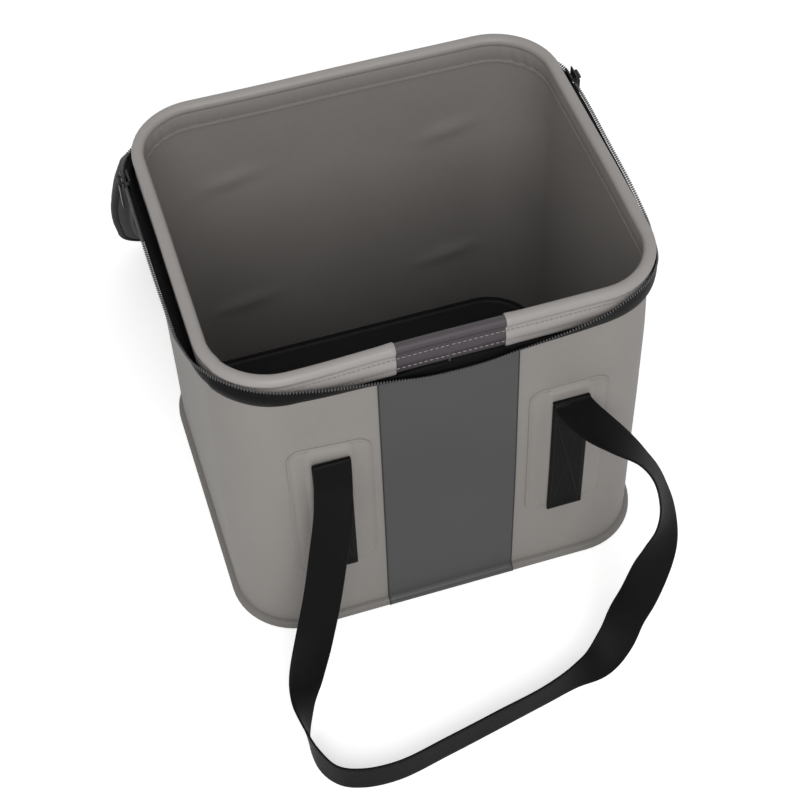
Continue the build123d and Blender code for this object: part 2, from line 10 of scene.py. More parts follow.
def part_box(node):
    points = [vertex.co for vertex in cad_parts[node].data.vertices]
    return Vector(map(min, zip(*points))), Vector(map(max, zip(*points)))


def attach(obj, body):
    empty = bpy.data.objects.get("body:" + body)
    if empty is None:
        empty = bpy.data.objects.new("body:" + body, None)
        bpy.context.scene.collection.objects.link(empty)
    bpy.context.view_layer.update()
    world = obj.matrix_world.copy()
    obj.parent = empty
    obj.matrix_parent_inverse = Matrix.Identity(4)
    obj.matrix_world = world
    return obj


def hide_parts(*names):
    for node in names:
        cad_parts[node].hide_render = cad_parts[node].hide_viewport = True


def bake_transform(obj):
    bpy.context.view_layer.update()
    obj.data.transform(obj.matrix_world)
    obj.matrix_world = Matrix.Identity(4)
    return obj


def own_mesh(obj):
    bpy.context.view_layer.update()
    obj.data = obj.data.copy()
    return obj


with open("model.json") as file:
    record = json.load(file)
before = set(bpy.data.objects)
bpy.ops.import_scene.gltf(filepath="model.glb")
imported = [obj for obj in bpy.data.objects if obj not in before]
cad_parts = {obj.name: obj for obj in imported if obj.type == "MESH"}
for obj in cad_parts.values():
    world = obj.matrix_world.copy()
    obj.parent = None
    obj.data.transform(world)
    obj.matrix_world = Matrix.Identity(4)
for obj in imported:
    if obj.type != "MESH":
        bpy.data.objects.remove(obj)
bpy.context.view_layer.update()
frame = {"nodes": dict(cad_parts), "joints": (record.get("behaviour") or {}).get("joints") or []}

bl_info = {
    "name": "Welded bag",
    "version": (1, 0, 0),
    "blender": (4, 5, 0),
    "location": "View3D > Sidebar > Bag",
    "description": "Sheet walls, sewn rim, zip, webbing handles and hung lid of a welded bag",
    "category": "Object",
}

# Metres. The stations of the tape and the routes of the handles are lists in millimetres.
MM = 0.001
UP = Vector((0, 0, 1))

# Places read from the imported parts
wall_low, wall_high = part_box("wall_shell")
rod_low, rod_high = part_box("rim_rod")
cover_low, cover_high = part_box("rim_cover")
coil_low, coil_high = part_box("lower_zip_coil")
patch_low, patch_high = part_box("handle_patch_front_right")
pad_low, pad_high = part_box("handle_pad_front_right")
tail_low, tail_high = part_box("webbing_tail_front_right")
stripe_low, stripe_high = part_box("stripe_panel")
tray_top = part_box("base_tray")[1].z
welt_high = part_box("base_welt")[1]
HALF_X, HALF_Y = wall_high.x, wall_high.y
RIM_Z = (rod_low.z + rod_high.z) / 2
BEAD_RADIUS = cover_high.z - RIM_Z
ROD_RADIUS = (rod_high.z - rod_low.z) / 2
COIL_RADIUS = (coil_high.z - coil_low.z) / 2
ZIP_REACH = coil_high.x - COIL_RADIUS - HALF_X
JOINT_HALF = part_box("rim_joint_patch")[1].x
STRIP_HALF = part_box("hinge_strip")[1].x
STRIP_THICKNESS = 0.0012
HANDLE_X = (patch_high.x + patch_low.x) / 2
joints = {joint["name"]: joint for joint in frame["joints"]}

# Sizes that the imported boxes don't give
CORNER_RADIUS = 0.045
LID_CORNER = 0.051
BEAD_OUT = -0.0008
ZIP_CORNER = math.radians(40)
WEBBING = Vector((0.026, 0.0015))
TOOTH = (0.0011, 0.0030, 0.0018)
LEAST_RADIUS = 0.004

# Spacing of the sections along tapes and loops, and of the points across a tape; steps up the wall
SECTION_STEP = 0.003
FINE_STEP = 0.0012
WALL_STEPS = 66

# Slow waves of the two tapes, and the puckers of the rim's inner leg: (height, radians per metre, start)
LOWER_WAVES = ((0.0003, 47, 0), (0.0002, 83, 1))
UPPER_WAVES = ((0.0004, 39, 0), (0.0003, 71, 2))
PUCKERS = ((0.0005, 620, 0),)

# Where the soft sheet is out of true: the bow of the front rim, the hollow beside the left patch, the dents
# behind the back patches, the right front corner, and the band under the rim that follows it
RIM_BOW_X, RIM_BOW_SPREAD = -0.095, 0.05
HOLLOW_X, HOLLOW_Z, HOLLOW_WIDE, HOLLOW_HIGH = -0.122, 0.204, 0.038, 0.034
DENTS = ((patch_low.z, 0.022), (patch_high.z, 0.020))
DENT_HIGH = 0.0065
RIM_PULL_BACK, RIM_PULL_SPREAD = 0.035, 0.05
RIM_FOLLOW_LOW, RIM_FOLLOW_HIGH = 0.2, 0.055

# The lid's own axes: across, from the free edge to the hinge, and out of its outer face
flange_line = Vector(joints["lid_hinge"]["pos_m"])
lid_line = Vector(joints["lid_fold"]["pos_m"])
strip_way = (lid_line - flange_line).normalized()
lid_across = Vector((1, 0, 0))
lid_along = -strip_way
lid_out = lid_across.cross(lid_along)


def reach_of(node, way):
    """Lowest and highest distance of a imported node's corners along a direction from the lid's hinge."""
    spans = [(v.co - lid_line).dot(way) for v in frame["nodes"][node].data.vertices]
    return min(spans), max(spans)


panel_front, panel_rear = reach_of("lid_panel", lid_along)
panel_half_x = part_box("lid_panel")[1].x
panel_half_y = (panel_rear - panel_front) / 2
panel_middle = (panel_rear + panel_front) / 2
binding_base, panel_face = reach_of("lid_binding", lid_out)
lining_base, lining_face = reach_of("lid_lining", lid_out)
upper_coil_front = reach_of("upper_zip_coil", lid_along)[0]
upper_coil_drop = sum(reach_of("upper_zip_coil", lid_out)) / 2
lid_shift = upper_coil_front + HALF_Y + ZIP_REACH + COIL_RADIUS


# Settings

def tone(name, description, screen):
    """Colour setting from an eight-bit screen colour, kept as linear light."""
    light = [c / 255 / 12.92 if c <= 10 else ((c / 255 + 0.055) / 1.055) ** 2.4 for c in screen]
    return FloatVectorProperty(
        name=name, description=description, default=light, subtype="COLOR", min=0, max=1
    )


def measure(name, description, default):
    return FloatProperty(
        name=name, description=description, default=default, unit="LENGTH", precision=5, step=0.01
    )


def angle(name, description, degrees):
    return FloatProperty(name=name, description=description, default=math.radians(degrees), subtype="ANGLE")


class BagColours(bpy.types.PropertyGroup):
    sheet: tone("Sheet", "Outside of the wall", (138, 134, 130))
    inside: tone("Inside", "Inside of the wall", (138, 134, 131))
    # Lighter than the sheet grey, which the cover shares: painted highlight for the bead's gloss
    rim: tone("Rim", "Rim cover", (153, 149, 146))
    rod: tone("Rod", "Rod inside the rim cover", (200, 200, 196))
    stripe: tone("Stripe", "Stripe down the front", (72, 72, 73))
    joint: tone("Rim joint", "Dark piece in the front of the rim", (69, 64, 68))
    # Darker than the sheet grey that the lip shows along the front: painted shade, as on its left side
    lip: tone("Base lip", "Lip round the foot of the wall", (120, 117, 113))
    floor: tone("Base", "Moulded base inside", (34, 33, 35))
    webbing: tone("Webbing", "Handles", (11, 11, 11))
    zip: tone("Zip", "Zip tapes and bindings", (14, 14, 15))
    # Lighter than the teeth's own dark colour: painted highlight standing in for their glints
    teeth: tone("Teeth", "Zip teeth", (82, 82, 84))
    lid: tone("Lid", "Outer face of the lid", (46, 46, 46))
    lining: tone("Lining", "Inner face of the lid", (116, 113, 109))
    thread: tone("Thread", "Pale thread of the rim", (160, 155, 153))
    dark_thread: tone("Dark thread", "Thread of the black pieces", (24, 24, 25))
    metal: tone("Sliders", "Painted sliders and pullers", (26, 26, 27))


class BagShape(bpy.types.PropertyGroup):
    sheet: measure("Sheet", "Thickness of each coat of the wall", 0.0008)
    belly: measure("Belly", "How far the front and back stand out at half height", 0.0016)
    side_belly: measure("Side belly", "How far the sides stand out at half height", 0.0012)
    ripple: measure("Ripple", "Height of the wall's slow unevenness", 0.0008)
    # Width of the dark band along the stripe's edges: painted shade where the stripe steps down to the wall
    weld_line: measure("Edge shade width", "Width of the dark line along the stripe's edges", 0.0009)
    hollow: measure("Hollow", "How far the wall stands in beside the left front patch", 0.0070)
    dent: measure("Dent", "Depth of the dents behind the back patches", 0.0020)
    rim_bow: measure("Rim bow", "How far the front rim bows", 0.0016)
    corner_pull: measure("Corner pull", "How far the right front corner of the rim is pulled in", 0.0012)


class BagSewing(bpy.types.PropertyGroup):
    stitch_pitch: measure("Stitch pitch", "From one stitch to the next", 0.0032)
    stitch_length: measure("Stitch length", "Length of one stitch", 0.0025)
    stitch_width: measure("Stitch width", "Thickness of the thread", 0.0006)
    tooth_pitch: measure("Tooth pitch", "From one tooth to the next", 0.0020)
    tape: measure("Tape", "Thickness of the zip tapes", 0.0006)
    seed: IntProperty(name="Seed", description="Seed of the small turns of the stitches", default=7)


class BagStage(bpy.types.PropertyGroup):
    place: FloatVectorProperty(
        name="Camera place",
        description="Where the camera stands",
        default=(-0.23149, -0.82795, 1.11205),
        subtype="TRANSLATION",
    )
    azimuth: angle("Azimuth", "Camera's turn about Z", 15.82)
    tilt: angle("Tilt", "Camera's angle below level", 50.69)
    roll: angle("Roll", "Camera's roll", -2.25)
    lens: FloatProperty(name="Lens", description="Focal length in millimetres", default=81.06)
    sky: FloatProperty(name="Sky", description="Strength of the even light", default=0.55)
    key: FloatProperty(name="Key lamp", description="Power of the large lamp", default=31.0)
    floor: FloatProperty(name="Floor glow", description="Added to the floor for the camera", default=0.5)


def colours():
    return bpy.context.scene.bag_colours


def shape():
    return bpy.context.scene.bag_shape


def sewing():
    return bpy.context.scene.bag_sewing


# Lines and skins

class Outline:
    """Rounded rectangle, walked anticlockwise from the middle of its front."""

    def __init__(self, half_x, half_y, radius):
        across, along, arc = 2 * (half_x - radius), 2 * (half_y - radius), radius * math.pi / 2
        self.half_y, self.radius = half_y, radius
        self.runs = (across / 2, arc, along, arc, across, arc, along, arc, across / 2)
        self.length = sum(self.runs)

    def at(self, distance):
        """Point and outward direction at that distance along the line."""
        left = distance % self.length
        point, heading = Vector((0, -self.half_y, 0)), 0.0
        for i, run in enumerate(self.runs):
            walked = min(left, run)
            if i % 2:
                centre = point + self.radius * Vector((-math.sin(heading), math.cos(heading), 0))
                heading += walked / self.radius
                point = centre + self.radius * Vector((math.sin(heading), -math.cos(heading), 0))
            else:
                point = point + walked * Vector((math.cos(heading), math.sin(heading), 0))
            left -= walked
            if left <= 0:
                break
        return point, Vector((math.sin(heading), -math.cos(heading), 0))

    def places(self, side_steps, corner_steps):
        """Distances all round, as many on each side and in each corner whatever the size."""
        found, start = [], 0.0
        for i, run in enumerate(self.runs):
            count = corner_steps if i % 2 else side_steps
            if i in (0, len(self.runs) - 1):
                count = side_steps // 2
            found += [start + run * k / count for k in range(count)]
            start += run
        return found

    def inset(self, depth, least=LEAST_RADIUS):
        """Outline that lies that far inside this one."""
        half_x = self.runs[0] + self.radius
        return Outline(half_x - depth, self.half_y - depth, max(self.radius - depth, least))


SIDE_STEPS = 48
CORNER_STEPS = 14
body_line = Outline(HALF_X, HALF_Y, CORNER_RADIUS)
body_places = body_line.places(SIDE_STEPS, CORNER_STEPS)
zip_end = sum(body_line.runs[:3]) + CORNER_RADIUS * ZIP_CORNER


def smooth(value):
    """Slow start and end between 0 and 1."""
    value = min(max(value, 0.0), 1.0)
    return value * value * (3 - 2 * value)


def waves(kinds, distance):
    """Sum of sine waves at a distance."""
    return sum(height * math.sin(distance * rate + start) for height, rate, start in kinds)


def steps(low, high, count):
    """Evenly spaced numbers from low to high, both included."""
    return [low + (high - low) * k / count for k in range(count + 1)]


def between(stations, at):
    """Values at a distance, on a smooth curve through the stations (distance, value, value, ...)."""
    at = min(max(at, stations[0][0]), stations[-1][0])
    turn = next(k for k in range(1, len(stations)) if at <= stations[k][0])
    before, a, b, after = (stations[min(max(turn + k, 0), len(stations) - 1)] for k in (-2, -1, 0, 1))
    span = b[0] - a[0]
    share = (at - a[0]) / span
    values = []
    for k in range(1, len(a)):
        leaving = (b[k] - before[k]) / (b[0] - before[0]) * span
        coming = (after[k] - a[k]) / (after[0] - a[0]) * span
        values.append(
            a[k] * (2 * share**3 - 3 * share**2 + 1)
            + leaving * (share**3 - 2 * share**2 + share)
            + b[k] * (3 * share**2 - 2 * share**3)
            + coming * (share**3 - share**2)
        )
    return values


def line_through(points, step):
    """Smooth line through points of any dimension, as lists of numbers spaced about a step apart.

    The first three numbers of each point are its place, and the spacing goes by them.
    """
    first = [2 * a - b for a, b in zip(points[0], points[1])]
    last = [2 * a - b for a, b in zip(points[-1], points[-2])]
    p = [first, *points, last]
    knots = [0.0]
    for a, b in zip(p, p[1:]):
        knots.append(knots[-1] + math.sqrt(max(math.dist(a[:3], b[:3]), 1e-9)))
    line = []
    for i in range(1, len(p) - 2):
        t0, t1, t2, t3 = knots[i - 1 : i + 3]
        count = max(1, round(math.dist(p[i][:3], p[i + 1][:3]) / step))
        for k in range(count):
            t = t1 + (t2 - t1) * k / count

            def mix(a, b, start, end):
                return [(x * (end - t) + y * (t - start)) / (end - start) for x, y in zip(a, b)]

            a1, a2 = mix(p[i - 1], p[i], t0, t1), mix(p[i], p[i + 1], t1, t2)
            a3 = mix(p[i + 1], p[i + 2], t2, t3)
            line.append(mix(mix(a1, a2, t0, t2), mix(a2, a3, t1, t3), t1, t2))
    line.append(list(points[-1]))
    return line


def steps_along(points):
    """Distance from the first point to each point, along them."""
    found = [0.0]
    for a, b in zip(points, points[1:]):
        found.append(found[-1] + (b - a).length)
    return found


def skin(name, rings, loop=False):
    """Closed mesh through rings of points: loop joins the last ring to the first, else the ends are capped.

    Its UV map holds real lengths: round the ring, and along the rings.
    """
    rows, count = len(rings), len(rings[0])
    around = steps_along([*rings[0], rings[0][0]])
    middles = [sum(ring, Vector()) / count for ring in rings]
    along = steps_along([*middles, middles[0]])
    faces, corners = [], []
    for i in range(rows if loop else rows - 1):
        k = (i + 1) % rows
        for j in range(count):
            m = (j + 1) % count
            faces.append((i * count + j, i * count + m, k * count + m, k * count + j))
            corners += [(around[j], along[i]), (around[j + 1], along[i])]
            corners += [(around[j + 1], along[i + 1]), (around[j], along[i + 1])]
    if not loop:
        for i in (0, rows - 1):
            faces.append([i * count + j for j in range(count)])
            corners += [(around[j], along[i]) for j in range(count)]
    mesh = bpy.data.meshes.new(name)
    mesh.from_pydata([point for ring in rings for point in ring], [], faces)
    layer = mesh.uv_layers.new(name="flat")
    for corner, place in zip(layer.data, corners):
        corner.uv = place
    face_out(mesh)
    mesh.set_sharp_from_angle(angle=math.radians(50))
    return linked(name, mesh)


def face_out(mesh):
    """Turns a closed mesh's faces outward and shades them smooth."""
    work = bmesh.new()
    work.from_mesh(mesh)
    bmesh.ops.recalc_face_normals(work, faces=work.faces)
    work.to_mesh(mesh)
    work.free()
    mesh.shade_smooth()


def linked(name, data):
    """Object of some data, put in the scene."""
    obj = bpy.data.objects.new(name, data)
    bpy.context.scene.collection.objects.link(obj)
    return obj


def sweep(name, spots, section, place, loop=False):
    """Skin of one section (out, up), which place(spot, out, up) sets at every spot along a line."""
    return skin(name, [[place(spot, out, up) for out, up in section] for spot in spots], loop)


def nested(whole, contour, side_steps, corner_steps, place, least=LEAST_RADIUS):
    """Rings of outlines one inside the other (inset, height), whose points place(point, height) sets."""
    rings = []
    for inset, height in contour:
        edge = whole.inset(inset, least)
        spots = edge.places(side_steps, corner_steps)
        rings.append([place(edge.at(spot)[0], height) for spot in spots])
    return rings


def dress(obj, paint, body=None, nodes=()):
    """Gives a piece its finish, the body that it rides on, and the nodes that it stands for."""
    obj.data.materials.clear()
    obj.data.materials.append(finish(paint))
    if body:
        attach(obj, body)
    if nodes:
        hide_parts(*nodes)
    return obj


# Materials

def node_of(tree, kind, inputs=None, **values):
    """New node with its properties, and then its inputs by name or number, set."""
    node = tree.nodes.new(kind)
    for key, value in values.items():
        setattr(node, key, value)
    for key, value in (inputs or {}).items():
        if isinstance(value, bpy.types.NodeSocket):
            tree.links.new(value, node.inputs[key])
        else:
            node.inputs[key].default_value = value
    return node


def maths(tree, operation, *values):
    return node_of(tree, "ShaderNodeMath", dict(enumerate(values)), operation=operation).outputs[0]


def texture(tree, kind, vector, scale, **inputs):
    return node_of(tree, f"ShaderNodeTex{kind}", {"Vector": vector, "Scale": scale, **inputs}).outputs


def new_group(name, kind, inputs, outputs):
    """Empty node group, with the sockets of its two ends: inputs and outputs give each name's type."""
    tree = bpy.data.node_groups.new(name, kind)
    for side, sockets in (("INPUT", inputs), ("OUTPUT", outputs)):
        for title, socket in sockets.items():
            tree.interface.new_socket(title, in_out=side, socket_type=f"NodeSocket{socket}")
    return tree, tree.nodes.new("NodeGroupInput").outputs, tree.nodes.new("NodeGroupOutput").inputs


def close_group(tree, made, colour, factor, **results):
    """Links the group's results, of which the colour is dimmed or lit by a factor."""
    tint = node_of(tree, "ShaderNodeVectorMath", {0: colour, "Scale": factor}, operation="SCALE")
    for title, result in {"Colour": tint.outputs[0], **results}.items():
        tree.links.new(result, made[title])
    return tree


def coated_group():
    """Coated sheet: fine leather-like grain, slow tone changes and small scuffs."""
    tree, given, made = new_group(
        "Coated sheet",
        "ShaderNodeTree",
        {"Vector": "Vector", "Colour": "Color", "Grain": "Float", "Mottle": "Float", "Roughness": "Float"},
        {"Colour": "Color", "Roughness": "Float", "Height": "Float"},
    )
    vector = given["Vector"]
    slow = texture(tree, "Noise", vector, 14.0, Detail=3.0)["Fac"]
    scuff = texture(tree, "Noise", vector, 160.0, Detail=5.0)["Fac"]
    grain = texture(tree, "Voronoi", vector, given["Grain"])["Distance"]
    fine = texture(tree, "Noise", vector, 2600.0, Detail=2.0)["Fac"]
    uneven = maths(tree, "MULTIPLY_ADD", slow, 0.7, maths(tree, "MULTIPLY", scuff, 0.3))
    shift = maths(tree, "MULTIPLY", maths(tree, "SUBTRACT", uneven, 0.5), given["Mottle"])
    factor = maths(tree, "MULTIPLY_ADD", shift, 4.0, 1.0)
    rough = maths(tree, "MULTIPLY_ADD", shift, 1.2, given["Roughness"])
    height = maths(tree, "MULTIPLY_ADD", grain, 0.7, maths(tree, "MULTIPLY", fine, 0.3))
    return close_group(tree, made, given["Colour"], factor, Roughness=rough, Height=height)


def woven_group():
    """Woven tape: threads along and across it, with ribs and a little fluff of tone. Its colour is painted
    lighter on the raised threads and darker in the grooves: painted sheen and painted shade.
    """
    tree, given, made = new_group(
        "Woven tape",
        "ShaderNodeTree",
        {"Vector": "Vector", "Colour": "Color", "Across": "Float", "Along": "Float", "Contrast": "Float"},
        {"Colour": "Color", "Height": "Float"},
    )
    parts = node_of(tree, "ShaderNodeSeparateXYZ", {0: given["Vector"]}).outputs

    def wave(place, pitch):
        turns = maths(tree, "DIVIDE", place, given[pitch])
        return maths(tree, "SINE", maths(tree, "MULTIPLY", turns, 2 * math.pi))

    across, along = wave(parts[0], "Across"), wave(parts[1], "Along")
    ribs = maths(tree, "MULTIPLY", along, 0.35)
    relief = maths(tree, "MULTIPLY_ADD", across, along, ribs)
    height = maths(tree, "MULTIPLY_ADD", relief, 0.4, 0.5)
    fluff = texture(tree, "Noise", given["Vector"], 500.0, Detail=4.0)["Fac"]
    # Colour follows the relief times a random fluff: painted sheen on raised threads, painted shade in the
    # grooves
    light = maths(tree, "MULTIPLY", maths(tree, "MULTIPLY", height, fluff), given["Contrast"])
    factor = maths(tree, "MULTIPLY_ADD", light, 2.2, 0.72)
    tall = maths(tree, "MULTIPLY_ADD", fluff, 0.3, height)
    return close_group(tree, made, given["Colour"], factor, Height=tall)


# Each kind of surface: its group, the coordinates it is laid out in, and its usual values
RELIEF = 0.0002
SHEET = (
    "Coated sheet",
    coated_group,
    "Object",
    dict(rough=0.46, bump=0.25, gloss=0.35, Grain=1400.0, Mottle=0.05),
)
WEAVE = (
    "Woven tape",
    woven_group,
    "UV",
    dict(rough=0.4, bump=0.6, gloss=0.08, Across=0.0011, Along=0.0009, Contrast=0.5),
)

# Each finish: its kind of surface, its colour, the share of it, and what differs from the usual values
FINISHES = {
    "Sheet grey": (SHEET, "sheet", 1, {}),
    "Sheet inside": (SHEET, "inside", 1, dict(rough=0.5, Mottle=0.07)),
    "Base black": (SHEET, "floor", 1, dict(rough=0.6, bump=0.5, Grain=700.0)),
    # Lip colour darker than its real sheet grey: painted shade
    "Welt grey": (SHEET, "lip", 1, dict(rough=0.5, bump=0.3)),
    "Stripe grey": (SHEET, "stripe", 1, dict(rough=0.42, Mottle=0.04)),
    # The stripe's colour darkened, for the bands along its edges: painted shade where the stripe steps down
    "Stripe weld": (SHEET, "stripe", 0.4, dict(rough=0.6, Mottle=0.04)),
    # Rim colour lighter than the sheet it matches: painted highlight for the bead's gloss
    "Rim grey": (SHEET, "rim", 1, dict(rough=0.42, bump=0.2)),
    "Rim joint": (SHEET, "joint", 1, dict(rough=0.42, bump=0.2)),
    # The joint's colour made a quarter lighter: painted highlight along the raised seam
    "Rim joint seam": (SHEET, "joint", 1.25, dict(rough=0.45, bump=0.2)),
    "Rod": (SHEET, "rod", 1, dict(rough=0.4, bump=0.05)),
    "Thread pale": (SHEET, "thread", 1, dict(rough=0.6, bump=0.1)),
    "Thread grey": (SHEET, "rim", 0.92, dict(rough=0.6, bump=0.1)),
    "Thread inside": (SHEET, "inside", 1.25, dict(rough=0.6, bump=0.1)),
    "Thread dark": (SHEET, "dark_thread", 1, dict(rough=0.55, bump=0.1)),
    "Zip tape": (WEAVE, "zip", 1, dict(Across=0.0008, Along=0.0007, Contrast=0.35)),
    # Teeth grey lighter than their own dark colour: painted highlight for their glints
    "Zip teeth": (SHEET, "teeth", 1, dict(rough=0.28, bump=0.05)),
    "Webbing": (WEAVE, "webbing", 1, {}),
    "Lid black": (SHEET, "lid", 1, dict(rough=0.5, bump=0.35, Grain=1100.0, Mottle=0.04)),
    "Lid lining": (SHEET, "lining", 1, dict(rough=0.5, Mottle=0.06)),
    "Binding": (WEAVE, "zip", 1, dict(Across=0.0009, Along=0.0008, Contrast=0.4)),
    "Strip black": (SHEET, "lid", 1, dict(rough=0.55, bump=0.4, Grain=900.0)),
    "Painted metal": (SHEET, "metal", 1, dict(rough=0.3, bump=0.12, Grain=2200.0)),
}


def finish(name):
    """Material of that name, made when a piece first asks for it."""
    made = bpy.data.materials.get(name)
    if made:
        return made
    (group, make_group, layout, usual), key, share, changes = FINISHES[name]
    values = {**usual, **changes}
    rough, bump, gloss = (values.pop(word) for word in ("rough", "bump", "gloss"))
    made = bpy.data.materials.new(name)
    made.use_nodes = True
    tree = made.node_tree
    shader = tree.nodes["Principled BSDF"].inputs
    colour = [c * share for c in getattr(colours(), key)]
    place = tree.nodes.new("ShaderNodeTexCoord").outputs[layout]
    shared = node_of(
        tree,
        "ShaderNodeGroup",
        {"Vector": place, "Colour": (*colour, 1), **values},
        node_tree=bpy.data.node_groups.get(group) or make_group(),
    )
    tree.links.new(shared.outputs["Colour"], shader["Base Color"])
    if "Roughness" in shared.outputs:
        shared.inputs["Roughness"].default_value = rough
        tree.links.new(shared.outputs["Roughness"], shader["Roughness"])
    else:
        shader["Roughness"].default_value = rough
    shader["Specular IOR Level"].default_value = gloss
    relief = {"Strength": bump, "Distance": RELIEF, "Height": shared.outputs["Height"]}
    tree.links.new(node_of(tree, "ShaderNodeBump", relief).outputs["Normal"], shader["Normal"])
    return made


# What repeats along a line: stitches and teeth

def row_tree():
    """Geometry nodes that set one shape at an even pitch along every line of a mesh."""
    found = bpy.data.node_groups.get("Row of shapes")
    if found:
        return found
    sockets = {"Lines": "Geometry", "Shape": "Object", "Pitch": "Float", "Turn": "Float", "Seed": "Int"}
    tree, given, made = new_group(
        "Row of shapes", "GeometryNodeTree", {**sockets, "Material": "Material"}, {"Shapes": "Geometry"}
    )

    def node(kind, inputs=None, **values):
        return node_of(tree, kind, inputs, **values).outputs

    curve = node("GeometryNodeMeshToCurve", {"Mesh": given["Lines"]})
    even = node("GeometryNodeResampleCurve", {"Curve": curve[0], "Length": given["Pitch"]}, mode="LENGTH")
    out = node("GeometryNodeInputNamedAttribute", {"Name": "out"}, data_type="FLOAT_VECTOR")
    ways = {0: node("GeometryNodeInputTangent")[0], 1: out["Attribute"]}
    facing = node("FunctionNodeAxesToRotation", ways, primary_axis="X", secondary_axis="Z")
    least = maths(tree, "MULTIPLY", given["Turn"], -1.0)
    limits = {"Min": least, "Max": given["Turn"], "Seed": given["Seed"]}
    chance = node("FunctionNodeRandomValue", limits, data_type="FLOAT_VECTOR")
    turn = node("FunctionNodeEulerToRotation", {0: chance["Value"]})
    turned = node("FunctionNodeRotateRotation", {0: facing[0], 1: turn[0]}, rotation_space="LOCAL")
    piece = node("GeometryNodeObjectInfo", {"Object": given["Shape"]})
    parts = {"Points": even[0], "Instance": piece["Geometry"], "Rotation": turned[0]}
    real = node("GeometryNodeRealizeInstances", {0: node("GeometryNodeInstanceOnPoints", parts)[0]})
    painted = node("GeometryNodeSetMaterial", {"Geometry": real[0], "Material": given["Material"]})
    tree.links.new(painted[0], made[0])
    return tree


def pebble(length, width, height, bend=0.0, sides=6, bands=4):
    """Small rounded shape for a stitch or tooth: long in X, wide in Y, high in Z. bend drops its two ends."""
    points = [(length / 2, 0.0, -bend)]
    for k in range(1, bands):
        out, along = math.sin(math.pi * k / bands) / 2, math.cos(math.pi * k / bands) / 2
        for j in range(sides):
            turn = 2 * math.pi * (j / sides + 0.25)
            up = out * math.cos(turn) * height - bend * 4 * along * along
            points.append((along * length, out * math.sin(turn) * width, up))
    points.append((-length / 2, 0.0, -bend))
    end, faces = len(points) - 1, []
    for j in range(sides):
        m = (j + 1) % sides
        faces += [(0, 1 + j, 1 + m), (end, end - 1 - j, end - 1 - m)]
        for a in range(1, end - sides, sides):
            faces.append((a + j, a + m, a + sides + m, a + sides + j))
    mesh = bpy.data.meshes.new("pebble")
    mesh.from_pydata(points, [], faces)
    face_out(mesh)
    return linked("pebble", mesh)


def row_piece(name, lines, piece, pitch, paint, turn=0.0):
    """One mesh of shapes along lines. A line is (points, outward directions, whether it closes)."""
    points, outs, edges = [], [], []
    for line, ways, closed in lines:
        start, count = len(points), len(line)
        points += line
        outs += ways
        edges += [(start + i, start + i + 1) for i in range(count - 1)]
        if closed:
            edges.append((start + count - 1, start))
    mesh = bpy.data.meshes.new(name)
    mesh.from_pydata(points, edges, [])
    layer = mesh.attributes.new("out", "FLOAT_VECTOR", "POINT")
    layer.data.foreach_set("vector", [value for way in outs for value in way])
    source = linked(name + "_lines", mesh)
    modifier = source.modifiers.new("Row", "NODES")
    modifier.node_group = row_tree()
    values = {"Shape": piece, "Pitch": pitch, "Turn": turn, "Seed": sewing().seed, "Material": finish(paint)}
    for item in modifier.node_group.interface.items_tree:
        if item.in_out == "INPUT" and item.name in values:
            modifier[item.identifier] = values[item.name]
    graph = bpy.context.evaluated_depsgraph_get()
    graph.update()
    result = bpy.data.meshes.new_from_object(source.evaluated_get(graph), depsgraph=graph)
    result.name = name
    bpy.data.objects.remove(source)
    bpy.data.objects.remove(piece)
    if not result.polygons:
        raise RuntimeError(f"{name}: no shapes were made along its lines")
    return linked(name, result)


def stitches(name, lines, paint, body, grow=1.0):
    """Row of stitches along lines that lie on a surface."""
    kit = sewing()
    width = kit.stitch_width
    thread = pebble(kit.stitch_length * grow, width * grow, width * 0.9 * grow, width * 0.25)
    dress(row_piece(name, lines, thread, kit.stitch_pitch * grow, paint, turn=0.06), paint, body)


# The wall and what lies on it

def rim_shift(point, way):
    """How far the soft rim is out of true: (out, up)."""
    kit = shape()
    front = math.exp(-(((point.x - RIM_BOW_X) / RIM_BOW_SPREAD) ** 2)) if way.y < -0.5 else 0.0
    corner = (point - Vector((HALF_X, -HALF_Y + RIM_PULL_BACK, 0))).length
    pull = math.exp(-((corner / RIM_PULL_SPREAD) ** 2))
    slow = noise.noise(Vector((point.x * 9, point.y * 9, 3.0))) * 0.0006
    return front * kit.rim_bow - pull * kit.corner_pull + slow, -front * kit.rim_bow * 0.6 + slow * 0.5


def bow(point, out, z):
    """How far the wall stands out of true at a place."""
    kit = shape()
    rise = math.sin(math.pi * min(max((z - wall_low.z) / (cover_low.z - wall_low.z), 0), 1))
    front = abs(out.y) * (1 - (point.x / HALF_X) ** 2)
    side = abs(out.x) * (1 - (point.y / HALF_Y) ** 2)
    uneven = noise.noise(Vector((point.x, point.y, z)) * 11.0) * kit.ripple
    near_rim = smooth((z - RIM_FOLLOW_LOW) / RIM_FOLLOW_HIGH) * rim_shift(point, out)[0]
    sunk = 0.0
    if out.y < 0:
        across, up = (point.x - HOLLOW_X) / HOLLOW_WIDE, (z - HOLLOW_Z) / HOLLOW_HIGH
        sunk = front * math.exp(-(across**2) - up**2) * kit.hollow
    return rise * (front * kit.belly + side * kit.side_belly + uneven) + near_rim - sunk


def wall_point(distance, out, z):
    """Place over the wall's outer face, at a distance from the middle of the front."""
    point, way = body_line.at(distance)
    return point + way * (out + bow(point, way, z)) + UP * z


def wall_distance(side, across):
    """Distance along the body's line of a place on the front (side -1) or back, by how far across it lies."""
    return across if side < 0 else body_line.length / 2 - across


